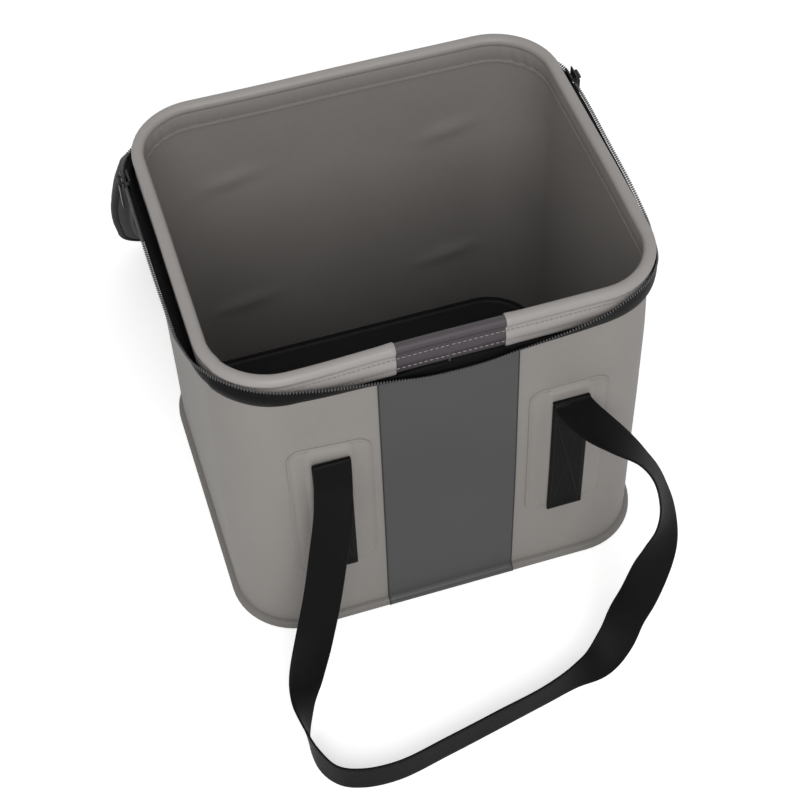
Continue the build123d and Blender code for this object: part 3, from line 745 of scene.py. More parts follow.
def dent_at(point, z):
    """How far the inner coat stands in behind the welded edges of the back patches."""
    if point.y < HALF_Y - CORNER_RADIUS:
        return 0.0
    total = 0.0
    for hand in (-1, 1):
        for height, width in DENTS:
            across = (point.x - hand * HANDLE_X) / width
            up = (z - height - across * 0.003) / DENT_HIGH
            total += math.exp(-across * across - up * up)
    return total * shape().dent


def wall_coat(name, paint, outer, inner, low, high, dented=False):
    """Closed band of sheet round the bag between two faces and two heights."""
    heights = steps(low, high, WALL_STEPS)
    rings = []
    for distance in body_places:
        point = body_line.at(distance)[0]
        ring = [wall_point(distance, outer, z) for z in heights]
        for z in reversed(heights):
            ring.append(wall_point(distance, inner - (dent_at(point, z) if dented else 0.0), z))
        rings.append(ring)
    dress(skin(name, rings, loop=True), paint, "bag", ["wall_shell"])


def wall_sheet(kind, wall, word, side, middle, contour, low, high, radius):
    """Sheet on the front or back wall, of nested rounded rectangles (inset, out) from its underside in."""
    z_middle = (patch_high.z + patch_low.z) / 2
    whole = Outline((high.x - low.x) / 2, (high.z - low.z) / 2, radius)

    def place(point, out):
        return wall_point(wall_distance(side, middle + point.x), out, z_middle + point.y)

    sheet = skin(f"{kind}_{wall}_{word}", nested(whole, contour, 10, 5, place, 0.0005))
    dress(sheet, "Sheet grey", "bag", [f"handle_{kind}_{wall}_{word}"])


class BAG_OT_base(bpy.types.Operator):
    """Moulded base inside, and the lip round the foot of the wall"""

    bl_idname = "bag.base"
    bl_label = "Base"

    def execute(self, context):
        base_floor()
        base_lip()
        return {"FINISHED"}


def base_floor():
    """Base with a low upstand, of nested outlines (inset, z) from its underside in."""
    inside, plate, wall, top = -0.0018, 0.003, 0.002, tray_top
    contour = (
        (0.0, 0.0004), (0.0, top - 0.0006), (0.0006, top), (wall - 0.0004, top), (wall, top - 0.0008),
        (wall + 0.0003, plate + (top - plate) * 0.4), (wall + 0.0010, plate + (top - plate) * 0.12),
        (wall + 0.0030, plate), (0.03, plate - 0.0002), (0.085, plate), (0.12, plate + 0.0003),
    )
    whole = Outline(HALF_X + inside, HALF_Y + inside, CORNER_RADIUS + inside)
    rings = nested(whole, contour, 24, 10, lambda point, z: point + UP * z)
    dress(skin("base_floor", rings), "Base black", "bag", ["base_tray"])


def base_lip():
    reach, top = welt_high.x - HALF_X, welt_high.z
    section = (
        (-0.0012, 0.0), (reach - 0.0008, 0.0), (reach - 0.0002, 0.0004), (reach, 0.0012),
        (reach - 0.0001, 0.0026), (reach - 0.0006, 0.0031), (reach - 0.0002, 0.0036),
        (reach - 0.0003, 0.0050), (reach - 0.0012, 0.0059), (0.0016, top - 0.0002),
        (0.0004, top + 0.0004), (-0.0012, top + 0.0002),
    )

    def place(distance, out, up):
        point, way = body_line.at(distance)
        return point + way * out + UP * up

    lip = sweep("base_lip", body_places, section, place, loop=True)
    dress(lip, "Welt grey", "bag", ["base_welt"])


class BAG_OT_walls(bpy.types.Operator):
    """Outer and inner coat of the wall, and the stripe with a thin dark band of painted shade along both
    edges, where the stripe steps down to the wall
    """

    bl_idname = "bag.walls"
    bl_label = "Walls"

    def execute(self, context):
        coat, short = shape().sheet, 0.0006
        low, high = wall_low.z, wall_high.z
        wall_coat("wall_outer", "Sheet grey", 0.0, -coat, low, high)
        wall_coat("wall_inner", "Sheet inside", -coat, -2 * coat, low + short, high - short, True)
        front_band("stripe", "Stripe grey", stripe_low.x, stripe_high.x, 0.0)
        # Dark bands along the stripe's two edges: painted shade of its step down to the wall
        half = shape().weld_line / 2
        for word, edge in (("left", stripe_low.x), ("right", stripe_high.x)):
            front_band(f"stripe_weld_{word}", "Stripe weld", edge - half, edge + half, 0.0002)
        return {"FINISHED"}


def front_band(name, paint, low_x, high_x, lift):
    """Band of sheet from under the flange down over the lip, between two places across the front."""
    top, reach = cover_low.z + 0.003, welt_high.x - HALF_X
    face = [(0.0008, z) for z in steps(top, 0.0085, 60)]
    foot = [(0.0012, 0.0072), (0.0026, 0.0066), (reach + 0.0002, 0.0056), (reach + 0.0006, 0.004)]
    foot += [(reach + 0.0006, 0.0014), (reach + 0.0002, 0.0004)]
    under = [(out - 0.0007, z) for out, z in reversed(face + foot)]
    section = [(out + lift, z) for out, z in face + foot] + under
    width, edge = high_x - low_x, 0.0001
    inner = steps(0.0, width, 2 + round(width / 0.004))[1:-1]

    def place(span, out, z):
        sunk = 0.0003 if span in (0.0, width) else 0.0
        return wall_point(low_x + span, out - sunk, z)

    band = sweep(name, [0.0, edge, *inner, width - edge, width], section, place)
    dress(band, paint, "bag", ["stripe_panel"])


# The rim

# Heights of the stitches from the bead's middle, and how far below it the cover's two legs reach
LOWER_ROW, UPPER_ROW, INNER_ROW = -0.0165, -0.0070, -0.0160
INNER_DROP = 0.019
COVER_DROP = RIM_Z - cover_low.z


def rim_point(distance, out, up):
    point, way = body_line.at(distance)
    shift_out, shift_up = rim_shift(point, way)
    return point + way * (out + shift_out) + UP * (RIM_Z + up + shift_up)


def bead_arc(radius, start, end, count):
    """Points of an arc about the bead's middle, between two angles in degrees: (out, up)."""
    turns = [math.radians(degrees) for degrees in steps(start, end, count)]
    return [(BEAD_OUT + radius * math.cos(turn), radius * math.sin(turn)) for turn in turns]


def rim_section(shrink, outer_drop, inner_drop):
    """Section of the folded cover, from the foot of its outer leg over the bead: (out, up)."""
    leg, inner = 0.0023 - shrink, -0.0029 + shrink
    outside = [
        (leg - 0.0010, -outer_drop), (leg - 0.0002, -outer_drop + 0.0003),
        (leg + 0.0001, -outer_drop + 0.0012), (leg, -0.0178), (leg - 0.0003, LOWER_ROW),
        (leg + 0.0003, -0.0152), (leg + 0.0006, -0.0120), (leg, -0.0086),
        (leg - 0.0006, -0.0072), (leg - 0.0010, -0.0062), (leg - 0.0013, -0.0052),
    ]
    bead = bead_arc(BEAD_RADIUS - shrink, -54, 238, 24)
    inside = [(inner, -inner_drop), (-0.0021, -inner_drop), (-0.0021, -0.0050)]
    hollow = bead_arc(ROD_RADIUS + 0.0001, 238, -54, 12)
    return outside + bead + inside + hollow + [(0.0006, -0.0050), (0.0006, -outer_drop)]


class BAG_OT_rim(bpy.types.Operator):
    """Rim cover over its rod, the dark joint in its front, and their stitches"""

    bl_idname = "bag.rim"
    bl_label = "Rim"

    def execute(self, context):
        rim_cover()
        reach = JOINT_HALF + 0.008
        section = rim_section(0.0006, COVER_DROP - 0.0006, 0.014)
        joint = sweep("rim_joint", steps(-reach, reach, 30), section, rim_point)
        dress(joint, "Rim joint", "bag", ["rim_joint_patch"])
        inner_leg()
        joint_seam()
        rim_stitches()
        rod = sweep("rod", body_places, bead_arc(ROD_RADIUS, 0, 360, 12)[:-1], rim_point, loop=True)
        dress(rod, "Rod", "bag", ["rim_rod"])
        return {"FINISHED"}


def rim_cover():
    """Cover all round from one side of the dark joint to the other, a little swollen at its two ends."""
    length, half = body_line.length, JOINT_HALF
    open_places = [d for d in body_places if half + 0.002 < d < length - half - 0.002]
    ends = [half, half + 0.0006]
    section = rim_section(0.0, COVER_DROP, INNER_DROP)
    rings = []
    for distance in [*ends, *open_places, length - ends[1], length - ends[0]]:
        near = min(distance, length - distance)
        swell = 0.0004 * math.exp(-(((near - half) / 0.006) ** 2)) - (0.0005 if near < half + 0.0003 else 0.0)
        ring = []
        for out, up in section:
            away = Vector((out - BEAD_OUT, up)).normalized()
            ring.append(rim_point(distance, out + away.x * swell, up + away.y * swell))
        rings.append(ring)
    dress(skin("rim_cover_sewn", rings), "Rim grey", "bag", ["rim_cover"])


def inner_leg():
    """Inner leg of the cover, all round inside the mouth, puckered in the corners."""
    section = (
        (-0.0024, -INNER_DROP - 0.0002), (-0.0033, -INNER_DROP), (-0.0036, -INNER_DROP + 0.0010),
        (-0.0035, -0.0172), (-0.0031, INNER_ROW), (-0.0035, -0.0148), (-0.0036, -0.0100),
        (-0.0034, -0.0064), (-0.0028, -0.0046), (-0.0022, -0.0046),
    )

    def place(distance, out, up):
        way = body_line.at(distance)[1]
        fold = (2 * way.x * way.y) ** 2 * waves(PUCKERS, distance)
        return rim_point(distance, out + fold * (up < -0.007), up)

    spots = body_line.places(SIDE_STEPS, 2 * CORNER_STEPS)
    leg = sweep("rim_inner_leg", spots, section, place, loop=True)
    dress(leg, "Sheet inside", "bag")


def joint_seam():
    """Short upright seam in the middle of the dark joint."""
    section = ((-0.0007, 0.0012), (-0.0005, 0.0021), (0.0005, 0.0023), (0.0009, 0.0012))
    heights = (-0.0215, -0.0190, -0.0165, -0.0140, -0.0115, -0.0090, -0.0070)
    seam = sweep("rim_joint_seam", heights, section, lambda up, x, out: rim_point(-0.001 + x, out, up))
    # Finish a quarter lighter than the joint: painted highlight along the raised seam
    dress(seam, "Rim joint seam", "bag")


def rim_stitches():
    """Stitches of the flanges, pale where they cross the dark joint, and of the inner leg."""

    def row(out, up, start, end, count, facing=1):
        spots = steps(start, end, count)
        points = [rim_point(spot, out, up) for spot in spots]
        return points, [body_line.at(spot)[1] * facing for spot in spots], facing < 0

    length, near = body_line.length, JOINT_HALF + 0.0015
    edge = JOINT_HALF - 0.0015
    rows = [row(0.00165, LOWER_ROW, -edge, edge, 20), row(0.0015, UPPER_ROW, -edge, edge, 20)]
    stitches("rim_joint_stitches", rows, "Thread pale", "bag", grow=1.1)
    rows = [row(out, up, near, length - near, 320) for out, up in ((0.0023, LOWER_ROW), (0.0021, UPPER_ROW))]
    stitches("rim_cover_stitches", rows, "Thread grey", "bag")
    rows = [row(-0.0034, INNER_ROW, 0.0, length * (1 - 1 / 400), 400, facing=-1)]
    stitches("rim_inner_stitches", rows, "Thread inside", "bag", grow=0.9)


# Zip

# Lower tape, in millimetres: distance from the middle of the front, then (out, z) of four bends to its tip
TAPE_STATIONS = (
    (-377, 1.6, 253.6, 2.8, 257.0, 3.8, 260.4, 4.6, 263.6),
    (-350, 1.6, 253.6, 3.3, 258.5, 5.6, 262.8, 10.4, 265.2),
    (-200, 1.6, 253.6, 3.3, 258.5, 5.6, 262.8, 10.4, 265.2),
    (-170, 1.8, 254.8, 4.6, 259.8, 6.4, 264.6, 7.6, 269.6),
    (-145, 1.8, 256.0, 5.0, 260.6, 6.2, 266.0, 4.8, 272.0),
    (-120, 1.6, 255.4, 4.6, 259.0, 6.0, 264.6, 5.0, 271.2),
    (-100, 1.6, 254.6, 4.2, 257.4, 6.0, 262.4, 6.6, 268.6),
    (-80, 1.5, 253.4, 4.0, 255.2, 6.5, 259.2, 8.0, 264.5),
    (-60, 1.4, 253.0, 3.6, 253.7, 5.8, 256.7, 8.0, 260.8),
    (-40, 1.3, 252.9, 3.3, 252.4, 5.7, 253.8, 8.0, 257.0),
    (-20, 1.2, 253.2, 3.2, 252.2, 5.6, 252.0, 8.0, 253.2),
    (0, 1.2, 253.2, 3.2, 252.2, 5.6, 251.4, 8.0, 251.5),
    (20, 1.2, 253.2, 3.2, 252.2, 5.6, 251.4, 8.0, 251.8),
    (40, 1.3, 252.9, 3.3, 252.2, 5.7, 252.4, 8.0, 254.5),
    (60, 1.3, 252.6, 3.4, 251.6, 5.8, 253.4, 8.0, 257.0),
    (80, 1.4, 252.8, 3.6, 252.4, 5.8, 255.4, 7.8, 260.2),
    (100, 1.6, 253.4, 4.0, 254.6, 5.8, 258.6, 7.0, 264.8),
    (115, 1.8, 254.2, 4.2, 257.0, 5.2, 262.8, 5.2, 269.6),
    (130, 1.8, 254.4, 4.2, 257.2, 5.0, 263.2, 4.7, 270.6),
    (150, 1.8, 254.0, 4.0, 256.8, 4.8, 262.4, 4.6, 269.6),
    (170, 1.6, 253.6, 3.6, 256.8, 4.6, 261.6, 4.8, 267.0),
    (200, 1.6, 253.6, 3.3, 258.0, 5.0, 261.4, 8.8, 263.8),
    (250, 1.6, 253.6, 3.3, 258.5, 5.6, 262.8, 10.2, 265.0),
    (350, 1.6, 253.6, 3.3, 258.5, 5.6, 262.8, 10.4, 265.2),
    (377, 1.6, 253.6, 2.8, 257.0, 3.8, 260.4, 4.6, 263.6),
)


def ribbon_section(points, thickness):
    """Outline of a thin sheet whose middle runs through points (out, up)."""
    sides = ([], [])
    for i, (a, b) in enumerate(points):
        before, after = points[max(i - 1, 0)], points[min(i + 1, len(points) - 1)]
        way = Vector((after[0] - before[0], after[1] - before[1])).normalized()
        sides[0].append((a - way.y * thickness / 2, b + way.x * thickness / 2))
        sides[1].append((a + way.y * thickness / 2, b - way.x * thickness / 2))
    return sides[0] + sides[1][::-1]


def zip_half(word, body, bends_at, count, place, axes):
    """Tape and teeth of one half of the zip.

    bends_at gives the tape's bends at a distance, place sets a point (out, up) of its section there, and axes
    gives the directions of out and up.
    """
    rings, points, outs = [], [], []
    for distance in steps(-zip_end, zip_end, round(2 * zip_end / SECTION_STEP)):
        line = line_through([(*bend, 0.0) for bend in bends_at(distance)], FINE_STEP)
        middle = [line[round(k * (len(line) - 1) / count)][:2] for k in range(count + 1)]
        rings.append([place(distance, a, b) for a, b in ribbon_section(middle, sewing().tape)])
        tip = Vector((middle[-1][0] - middle[-2][0], middle[-1][1] - middle[-2][1])).normalized()
        edge = Vector(middle[-1]) + tip * COIL_RADIUS
        points.append(place(distance, edge.x, edge.y))
        out, up = axes(distance)
        outs.append(out * -tip.y + up * tip.x)
    tape = dress(skin(f"{word}_tape", rings), "Zip tape", body, [f"{word}_zip_tape"])
    lines = [(points, outs, False)]
    teeth = row_piece(f"{word}_teeth", lines, pebble(*TOOTH), sewing().tooth_pitch, "Zip teeth")
    return tape, dress(teeth, "Zip teeth", body, [f"{word}_zip_coil"])


class BAG_OT_lower_zip(bpy.types.Operator):
    """Lower zip tape, flared out under the rim, and its teeth"""

    bl_idname = "bag.lower_zip"
    bl_label = "Lower zip"

    def execute(self, context):
        def bends_at(distance):
            wave = waves(LOWER_WAVES, distance)
            values = [value * MM for value in between(TAPE_STATIONS, distance / MM)]
            free = [(out, z + wave) for out, z in zip(values[::2], values[1::2])]
            return [(0.00045, 0.2650), (0.00045, 0.2560), *free]

        def place(distance, out, z):
            point, way = body_line.at(distance)
            shift_out, shift_up = rim_shift(point, way)
            return point + way * shift_out + UP * shift_up + way * out + UP * z

        pieces = zip_half("lower", "bag", bends_at, 20, place, lambda spot: (body_line.at(spot)[1], UP))
        for piece in pieces:
            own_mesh(piece)
        return {"FINISHED"}


# Handles: patches, pads, tails and loops

PATCH_CONTOUR = (
    (0.0, 0.0), (0.0, 0.0007), (0.0004, 0.0011), (0.0010, 0.0011), (0.0016, 0.0006), (0.0032, 0.0006),
    (0.0042, 0.0010), (0.0060, 0.0011), (0.0120, 0.0011), (0.0200, 0.0011),
    ((patch_high.x - patch_low.x) / 2 - 0.002, 0.0011),
)
PAD_CONTOUR = (
    (-0.0030, 0.0008), (-0.0014, 0.0014), (0.0, 0.0024), (0.0010, 0.0027), (0.0030, 0.0028), (0.0080, 0.0028),
    ((pad_high.x - pad_low.x) / 2 - 0.0015, 0.0028),
)


class BAG_OT_patches(bpy.types.Operator):
    """Welded patches, backing pads and sewn webbing tails of the handles"""

    bl_idname = "bag.patches"
    bl_label = "Handle patches"

    def execute(self, context):
        for side, wall in ((-1, "front"), (1, "back")):
            for hand, word in ((-1, "left"), (1, "right")):
                spot = (wall, word, side, hand * HANDLE_X)
                wall_sheet("patch", *spot, PATCH_CONTOUR, patch_low, patch_high, 0.010)
                wall_sheet("pad", *spot, PAD_CONTOUR, pad_low, pad_high, 0.004)
                webbing_tail(*spot)
        return {"FINISHED"}


def webbing_tail(wall, word, side, middle):
    """Sewn tail of the webbing with a hem at its foot, and its stitches."""
    inner, outer = 0.0029, 0.0029 + WEBBING.y
    rings = []
    for z in steps(tail_low.z - 0.001, tail_high.z, 40):
        hem = 0.0005 * math.exp(-(((z - tail_low.z) / 0.004) ** 2))
        level = (inner + outer + hem) / 2
        section = webbing_section(WEBBING.x, outer - inner + hem)
        rings.append([wall_point(wall_distance(side, middle + a), level + b, z) for a, b in section])
    tail = skin(f"tail_{wall}_{word}", rings)
    dress(tail, "Webbing", "bag", [f"webbing_tail_{wall}_{word}"])

    half = WEBBING.x / 2 - 0.0025
    low, high = tail_low.z + 0.003, tail_high.z - 0.012
    a, b, c, d = (-half, low), (half, low), (half, high), (-half, high)
    rows = []
    for start, end in ((a, b), (b, c), (c, d), (d, a), (a, c), (b, d)):
        spots = [wall_distance(side, middle + across) for across in steps(start[0], end[0], 20)]
        points = [wall_point(spot, outer, z) for spot, z in zip(spots, steps(start[1], end[1], 20))]
        rows.append((points, [body_line.at(spot)[1] for spot in spots], False))
    stitches(f"tail_stitches_{wall}_{word}", rows, "Thread dark", "bag", grow=0.9)


def webbing_section(width, thickness):
    """Section of flat webbing with rolled edges: (across, out)."""
    half, roll = width / 2, thickness / 2
    section = []
    for end in (1, -1):
        for degrees in steps(-90, 90, 6):
            turn = math.radians(degrees)
            section.append((end * (half - roll + roll * math.cos(turn)), end * roll * math.sin(turn)))
        section += [(end * half * share, end * roll * 0.94) for share in (0.7, 0.35, 0.0, -0.35, -0.7)]
    return section


# Routes of the handles in millimetres: the middle of the webbing, and the direction of its width
FRONT_ROUTE = (
    ((-84, -140, 170), (1, -0.05, 0)),
    ((-88, -149, 148), (0.97, -0.2, -0.05)),
    ((-96, -159, 118), (0.92, -0.37, -0.12)),
    ((-105, -169, 86), (0.9, -0.4, -0.15)),
    ((-116, -180, 55), (0.91, -0.36, -0.21)),
    ((-126, -192, 33), (0.91, -0.06, -0.41)),
    ((-133, -206, 21), (0.61, 0.23, -0.76)),
    ((-136, -225, 15.5), (0.13, 0.18, -0.98)),
    ((-133, -246, 13.5), (-0.05, 0, -1)),
    ((-124, -261, 13.5), (0, 0, -1)),
    ((-109, -268, 13.5), (0, 0, -1)),
    ((-84, -270, 13.5), (0, 0, -1)),
    ((-46, -263, 13.5), (0, 0, -1)),
    ((-8, -255, 13.5), (0, 0, -1)),
    ((29, -247, 13.5), (0, 0, -1)),
    ((55, -240, 14.5), (0.1, -0.15, -0.98)),
    ((74, -236, 18.5), (0.5, -0.5, -0.7)),
    ((88, -229, 30), (0.69, -0.65, -0.31)),
    ((97, -223, 46), (0.69, -0.7, -0.18)),
    ((105, -221, 64), (0.71, -0.67, -0.19)),
    ((113, -218, 86), (0.86, -0.46, -0.23)),
    ((120, -215, 109), (0.97, 0.04, -0.24)),
    ((124, -210, 130), (0.79, 0.58, -0.22)),
    ((124, -203, 148), (0.55, 0.78, -0.31)),
    ((121, -193, 162), (0.43, 0.79, -0.43)),
    ((114, -183, 171), (0.43, 0.81, -0.4)),
    ((103, -171, 177), (0.7, 0.69, -0.16)),
    ((92, -157, 181), (0.87, 0.45, 0.1)),
    ((85, -144, 184), (0.97, 0.2, 0.1)),
)
BACK_HALF = (
    ((84, 140, 170), (-1, 0.05, 0)),
    ((88, 148, 146), (-0.98, 0.2, -0.05)),
    ((95, 157, 116), (-0.94, 0.3, -0.1)),
    ((103, 167, 84), (-0.92, 0.35, -0.15)),
    ((112, 178, 54), (-0.92, 0.3, -0.22)),
    ((119, 190, 33), (-0.9, 0.05, -0.42)),
    ((123, 204, 21), (-0.6, -0.2, -0.76)),
    ((122, 219, 15.5), (-0.13, -0.15, -0.98)),
    ((113, 233, 13.5), (0, 0, -1)),
    ((95, 241, 13.5), (0, 0, -1)),
    ((65, 245, 13.5), (0, 0, -1)),
    ((30, 246, 13.5), (0, 0, -1)),
)
FOLD_RADIUS = 0.0014


class BAG_OT_handles(bpy.types.Operator):
    """Webbing loops of the two handles"""

    bl_idname = "bag.handles"
    bl_label = "Handles"

    def execute(self, context):
        webbing_loop("front_handle", -1, FRONT_ROUTE)
        mirrored = [((-x, y, z), (-a, b, c)) for (x, y, z), (a, b, c) in reversed(BACK_HALF)]
        webbing_loop("back_handle", 1, (*BACK_HALF, ((0, 246.5, 13.5), (0, 0, -1)), *mirrored))
        return {"FINISHED"}


def webbing_loop(name, side, route):
    """One loop: rolled over its fold line at both ends, and along its route between them."""
    fold = Vector(joints[f"{name}_swing"]["pos_m"])

    def rolled(hand):
        end = []
        for degrees in range(220, -1, -20):
            turn = math.radians(degrees)
            y, z = fold.y + side * FOLD_RADIUS * math.cos(turn), fold.z + FOLD_RADIUS * math.sin(turn)
            end.append((hand * HANDLE_X, y, z, -side, 0.0, 0.0))
        return end

    middle = [(*[value * MM for value in place], *width) for place, width in route]
    line = line_through(rolled(side) + middle + rolled(-side)[::-1], SECTION_STEP)
    places = [Vector(p[:3]) for p in line]
    section = webbing_section(*WEBBING)
    rings = []
    for i, p in enumerate(line):
        way = (places[min(i + 1, len(places) - 1)] - places[max(i - 1, 0)]).normalized()
        width = Vector(p[3:6])
        width = (width - way * width.dot(way)).normalized()
        out = width.cross(way)
        rings.append([places[i] + width * a + out * b for a, b in section])
    dress(skin(name, rings), "Webbing", name, [f"{name}_webbing"])


# Lid

# How much wider the soft lid lies than its panel: distance from its free edge, share
LID_SPREAD = (
    (0.000, 0.026), (0.048, 0.026), (0.068, 0.036), (0.088, 0.047), (0.112, 0.052),
    (0.140, 0.050), (0.168, 0.038), (0.188, 0.026), (0.208, 0.010), (0.222, 0.000),
)


def lid_place(across, along, out):
    """Place on the lid, from the middle of its hinge."""
    spread = between(LID_SPREAD, along - panel_front)[0]
    return lid_line + lid_across * across * (1 + spread) + lid_along * along + lid_out * out


def lid_rings(contour, side_steps=30, corner_steps=12):
    """Nested rounded rectangles on the lid: (inset from the panel's edge, out)."""

    def place(point, out):
        return lid_place(point.x, panel_middle + point.y, out)

    whole = Outline(panel_half_x, panel_half_y, LID_CORNER)
    return nested(whole, contour, side_steps, corner_steps, place)


# Contours of the lid's layers, from its edge in: (inset, height over the layer's face)
PANEL_FACE = (
    (0.0005, -0.0001), (0.0040, 0.0), (0.0090, 0.0003), (0.0104, -0.0004), (0.0110, -0.0002),
    (0.0116, 0.0022), (0.0124, 0.0035), (0.0136, 0.0039), (0.0148, 0.0034), (0.0155, 0.0022),
    (0.0162, 0.0008), (0.0170, 0.0006), (0.0182, 0.0018), (0.0215, 0.0025), (0.0500, 0.0032),
    (0.0900, 0.0037), (0.1250, 0.0039),
)
LINING_FACE = (
    (0.0098, 0.0002), (0.0102, 0.0), (0.0160, 0.0001), (0.0200, -0.0004), (0.0500, -0.0012),
    (0.0900, -0.0018), (0.1250, -0.0020),
)
BINDING_OUTSIDE = (
    (0.0034, -0.0002), (0.0030, 0.0006), (0.0006, 0.0007), (-0.0008, 0.0002), (-0.0016, -0.0012),
)
BINDING_INSIDE = (
    (-0.0016, 0.0012), (-0.0008, -0.0002), (0.0010, -0.0006), (0.0098, -0.0006), (0.0104, 0.0),
    (0.0098, 0.0002),
)


def raised(level, contour):
    return [(inset, level + height) for inset, height in contour]


class BAG_OT_lid(bpy.types.Operator):
    """Moulded lid panel, its lining, binding and stitches"""

    bl_idname = "bag.lid"
    bl_label = "Lid"

    def execute(self, context):
        face, base = panel_face, lining_face + 0.0001
        rim = [(0.0004, base), (0.0, base + 0.0006), (0.0, face - 0.0006)]
        panel = rim + raised(face, PANEL_FACE)
        dress(skin("lid_moulding", lid_rings(panel)), "Lid black", "lid", ["lid_panel"])

        lining = [(0.0100, lining_face)] + raised(lining_base, LINING_FACE)
        dress(skin("lid_lining_sheet", lid_rings(lining)), "Lid lining", "lid", ["lid_lining"])

        low = binding_base
        edge = raised(face, BINDING_OUTSIDE) + raised(low, BINDING_INSIDE)
        edge += [(0.0002, base), (0.0, base + 0.0006), (0.0, face - 0.0006)]
        turned = [list(ring) for ring in zip(*lid_rings(edge, 40, 14))]
        binding = skin("lid_edge_binding", turned, loop=True)
        dress(binding, "Binding", "lid", ["lid_binding"])

        rows = []
        for inset, out, facing in ((0.0022, face + 0.0007, 1), (0.0082, low - 0.0006, -1)):
            ring = lid_rings(((inset, out),), 60, 16)[0]
            rows.append((ring, [lid_out * facing] * len(ring), True))
        stitches("lid_edge_stitches", rows, "Thread dark", "lid")
        return {"FINISHED"}


class BAG_OT_upper_zip(bpy.types.Operator):
    """Upper zip tape under the lid's edge, and its teeth"""

    bl_idname = "bag.upper_zip"
    bl_label = "Upper zip"

    def execute(self, context):
        level = binding_base - 0.0006 - sewing().tape / 2
        shut = upper_coil_drop + COIL_RADIUS - level
        # Distance from the middle of the front, how far out the tape's edge is, and how far under the lid
        stations = (
            (0.0, ZIP_REACH - 0.0003, shut),
            (0.060, ZIP_REACH - 0.0003, shut),
            (0.110, 0.0070, -0.0050),
            (0.150, 0.0048, -0.0030),
            (0.330, 0.0046, -0.0026),
            (zip_end, 0.0040, -0.0010),
        )

        def bends_at(distance):
            tip_out, tip_drop = between(stations, abs(distance))
            wave = waves(UPPER_WAVES, distance)
            bend = (0.0030 + (tip_out - 0.0030) * 0.6, level + tip_drop * 0.35 + wave)
            return (-0.0040, level), (0.0030, level), bend, (tip_out, level + tip_drop + wave)

        def place(distance, out, up):
            point, way = body_line.at(distance)
            moved = point + way * out
            return lid_place(moved.x, moved.y + lid_shift, up)

        def axes(distance):
            way = body_line.at(distance)[1]
            return lid_across * way.x + lid_along * way.y, lid_out

        zip_half("upper", "lid", bends_at, 14, place, axes)
        return {"FINISHED"}


class BAG_OT_hinge(bpy.types.Operator):
    """Soft strip between the flange and the lid, in two halves that bend at their own lines"""

    bl_idname = "bag.hinge"
    bl_label = "Hinge strip"

    def execute(self, context):
        middle = (flange_line + lid_line) / 2
        root = flange_line + Vector((0, -0.0004, 0.0090))
        bend = flange_line + Vector((0, -0.0002, 0.0030))
        reach, overlap = strip_way * 0.003, strip_way * 0.002
        upper = hinge_half("hinge_strip_upper", (root, bend, flange_line + reach, middle + overlap))
        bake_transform(upper)
        tuck = lid_place(0, -0.0045, lining_base - 0.0004)
        foot = lid_place(0, -0.0130, lining_base - 0.0010)
        lower = hinge_half("hinge_strip_lower", (middle - overlap, lid_line - reach, tuck, foot))
        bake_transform(lower)
        return {"FINISHED"}


def hinge_half(name, stations):
    """Half of the strip, across the bag, whose section runs through these places."""
    line = [Vector(p) for p in line_through([tuple(p) for p in stations], FINE_STEP)]
    section = ribbon_section([(p.y, p.z) for p in line], STRIP_THICKNESS)
    spots = steps(-STRIP_HALF, STRIP_HALF, 50)
    half = sweep(name, spots, section, lambda x, y, z: Vector((x, y, z)))
    return dress(half, "Strip black", None, ["hinge_strip"])


class BAG_OT_sliders(bpy.types.Operator):
    """Finish of the zip sliders and their pullers"""

    bl_idname = "bag.sliders"
    bl_label = "Sliders"

    def execute(self, context):
        for hand in ("left", "right"):
            for word in ("slider", "puller"):
                materials = frame["nodes"][f"zip_{word}_{hand}"].data.materials
                materials.clear()
                materials.append(finish("Painted metal"))
        return {"FINISHED"}


# Stage

class BAG_OT_stage(bpy.types.Operator):
    """Floor, light and camera"""

    bl_idname = "bag.stage"
    bl_label = "Stage"

    def execute(self, context):
        kit = context.scene.bag_stage
        stage_floor(kit)
        stage_world(kit)
        stage_lamp(kit)
        stage_camera(kit)
        context.scene.view_settings.view_transform = "Standard"
        return {"FINISHED"}


def stage_floor(kit):
    size = 10.0
    corners = [(-size, -size, 0), (size, -size, 0), (size, size, 0), (-size, size, 0)]
    mesh = bpy.data.meshes.new("floor")
    mesh.from_pydata(corners, [], [(0, 1, 2, 3)])
    pale = bpy.data.materials.new("Pale floor")
    pale.use_nodes = True
    tree = pale.node_tree
    shader = tree.nodes["Principled BSDF"].inputs
    shader["Base Color"].default_value = (0.9, 0.9, 0.9, 1)
    shader["Roughness"].default_value = 0.9
    shader["Specular IOR Level"].default_value = 0.1
    shader["Emission Color"].default_value = (1, 1, 1, 1)
    seen = tree.nodes.new("ShaderNodeLightPath").outputs["Is Camera Ray"]
    tree.links.new(maths(tree, "MULTIPLY", seen, kit.floor), shader["Emission Strength"])
    mesh.materials.append(pale)
    obj = linked("floor", mesh)


def stage_world(kit):
    """Even light, which the camera, and what shines, see as white."""
    world = bpy.data.worlds.new("Studio")
    bpy.context.scene.world = world
    world.use_nodes = True
    tree = world.node_tree
    tree.nodes.clear()
    path = tree.nodes.new("ShaderNodeLightPath").outputs
    seen = maths(tree, "MAXIMUM", path["Is Camera Ray"], path["Is Glossy Ray"])
    seen = maths(tree, "MAXIMUM", seen, path["Is Transmission Ray"])
    shades = [
        node_of(tree, "ShaderNodeBackground", {"Color": (1, 1, 1, 1), "Strength": strength}).outputs[0]
        for strength in (kit.sky, 1.0)
    ]
    mix = node_of(tree, "ShaderNodeMixShader", {0: seen, 1: shades[0], 2: shades[1]})
    node_of(tree, "ShaderNodeOutputWorld", {0: mix.outputs[0]})


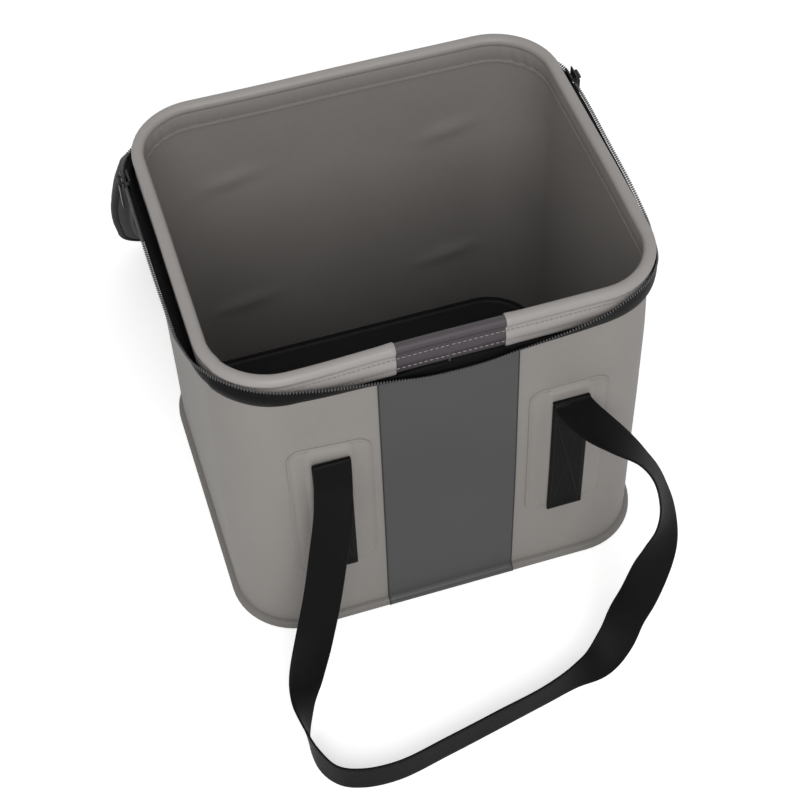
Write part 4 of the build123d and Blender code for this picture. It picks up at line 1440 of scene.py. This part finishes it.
def stage_lamp(kit):
    light = bpy.data.lights.new("Key", "AREA")
    light.energy, light.size = kit.key, 1.4
    lamp = linked("Key", light)
    lamp.location = (-0.35, -2.0, 1.65)
    target = Vector((0, 0, 0.13))
    lamp.rotation_euler = (target - lamp.location).to_track_quat("-Z", "Y").to_euler()


def stage_camera(kit):
    data = bpy.data.cameras.new("Camera")
    data.sensor_width, data.lens = 36.0, kit.lens
    data.clip_start, data.clip_end = 0.05, 20.0
    right = Vector((math.cos(kit.azimuth), -math.sin(kit.azimuth), 0))
    level = Vector((math.sin(kit.azimuth), math.cos(kit.azimuth), 0))
    forward = level * math.cos(kit.tilt) - UP * math.sin(kit.tilt)
    turn = Matrix((right, right.cross(forward), -forward)).transposed() @ Matrix.Rotation(kit.roll, 3, "Z")
    camera = linked("Camera", data)
    camera.matrix_world = Matrix.Translation(kit.place) @ turn.to_4x4()
    bpy.context.scene.camera = camera


OPERATORS = (
    BAG_OT_base,
    BAG_OT_walls,
    BAG_OT_rim,
    BAG_OT_lower_zip,
    BAG_OT_patches,
    BAG_OT_handles,
    BAG_OT_lid,
    BAG_OT_upper_zip,
    BAG_OT_hinge,
    BAG_OT_sliders,
    BAG_OT_stage,
)
SETTINGS = {
    "bag_colours": BagColours,
    "bag_shape": BagShape,
    "bag_sewing": BagSewing,
    "bag_stage": BagStage,
}


class BAG_PT_panel(bpy.types.Panel):
    bl_idname = "BAG_PT_panel"
    bl_label = "Welded bag"
    bl_space_type = "VIEW_3D"
    bl_region_type = "UI"
    bl_category = "Bag"

    def draw(self, context):
        for name in SETTINGS:
            settings = getattr(context.scene, name)
            for key in settings.__annotations__:
                self.layout.prop(settings, key)
        for operator in OPERATORS:
            self.layout.operator(operator.bl_idname)


CLASSES = (*SETTINGS.values(), *OPERATORS, BAG_PT_panel)


def register():
    for item in CLASSES:
        bpy.utils.register_class(item)
    for name, item in SETTINGS.items():
        setattr(bpy.types.Scene, name, PointerProperty(type=item))


def unregister():
    for name in SETTINGS:
        delattr(bpy.types.Scene, name)
    for item in reversed(CLASSES):
        bpy.utils.unregister_class(item)


def main():
    register()
    for operator in OPERATORS:
        group_name, call = operator.bl_idname.split(".")
        getattr(getattr(bpy.ops, group_name), call)()


if __name__ == "__main__":
    main()
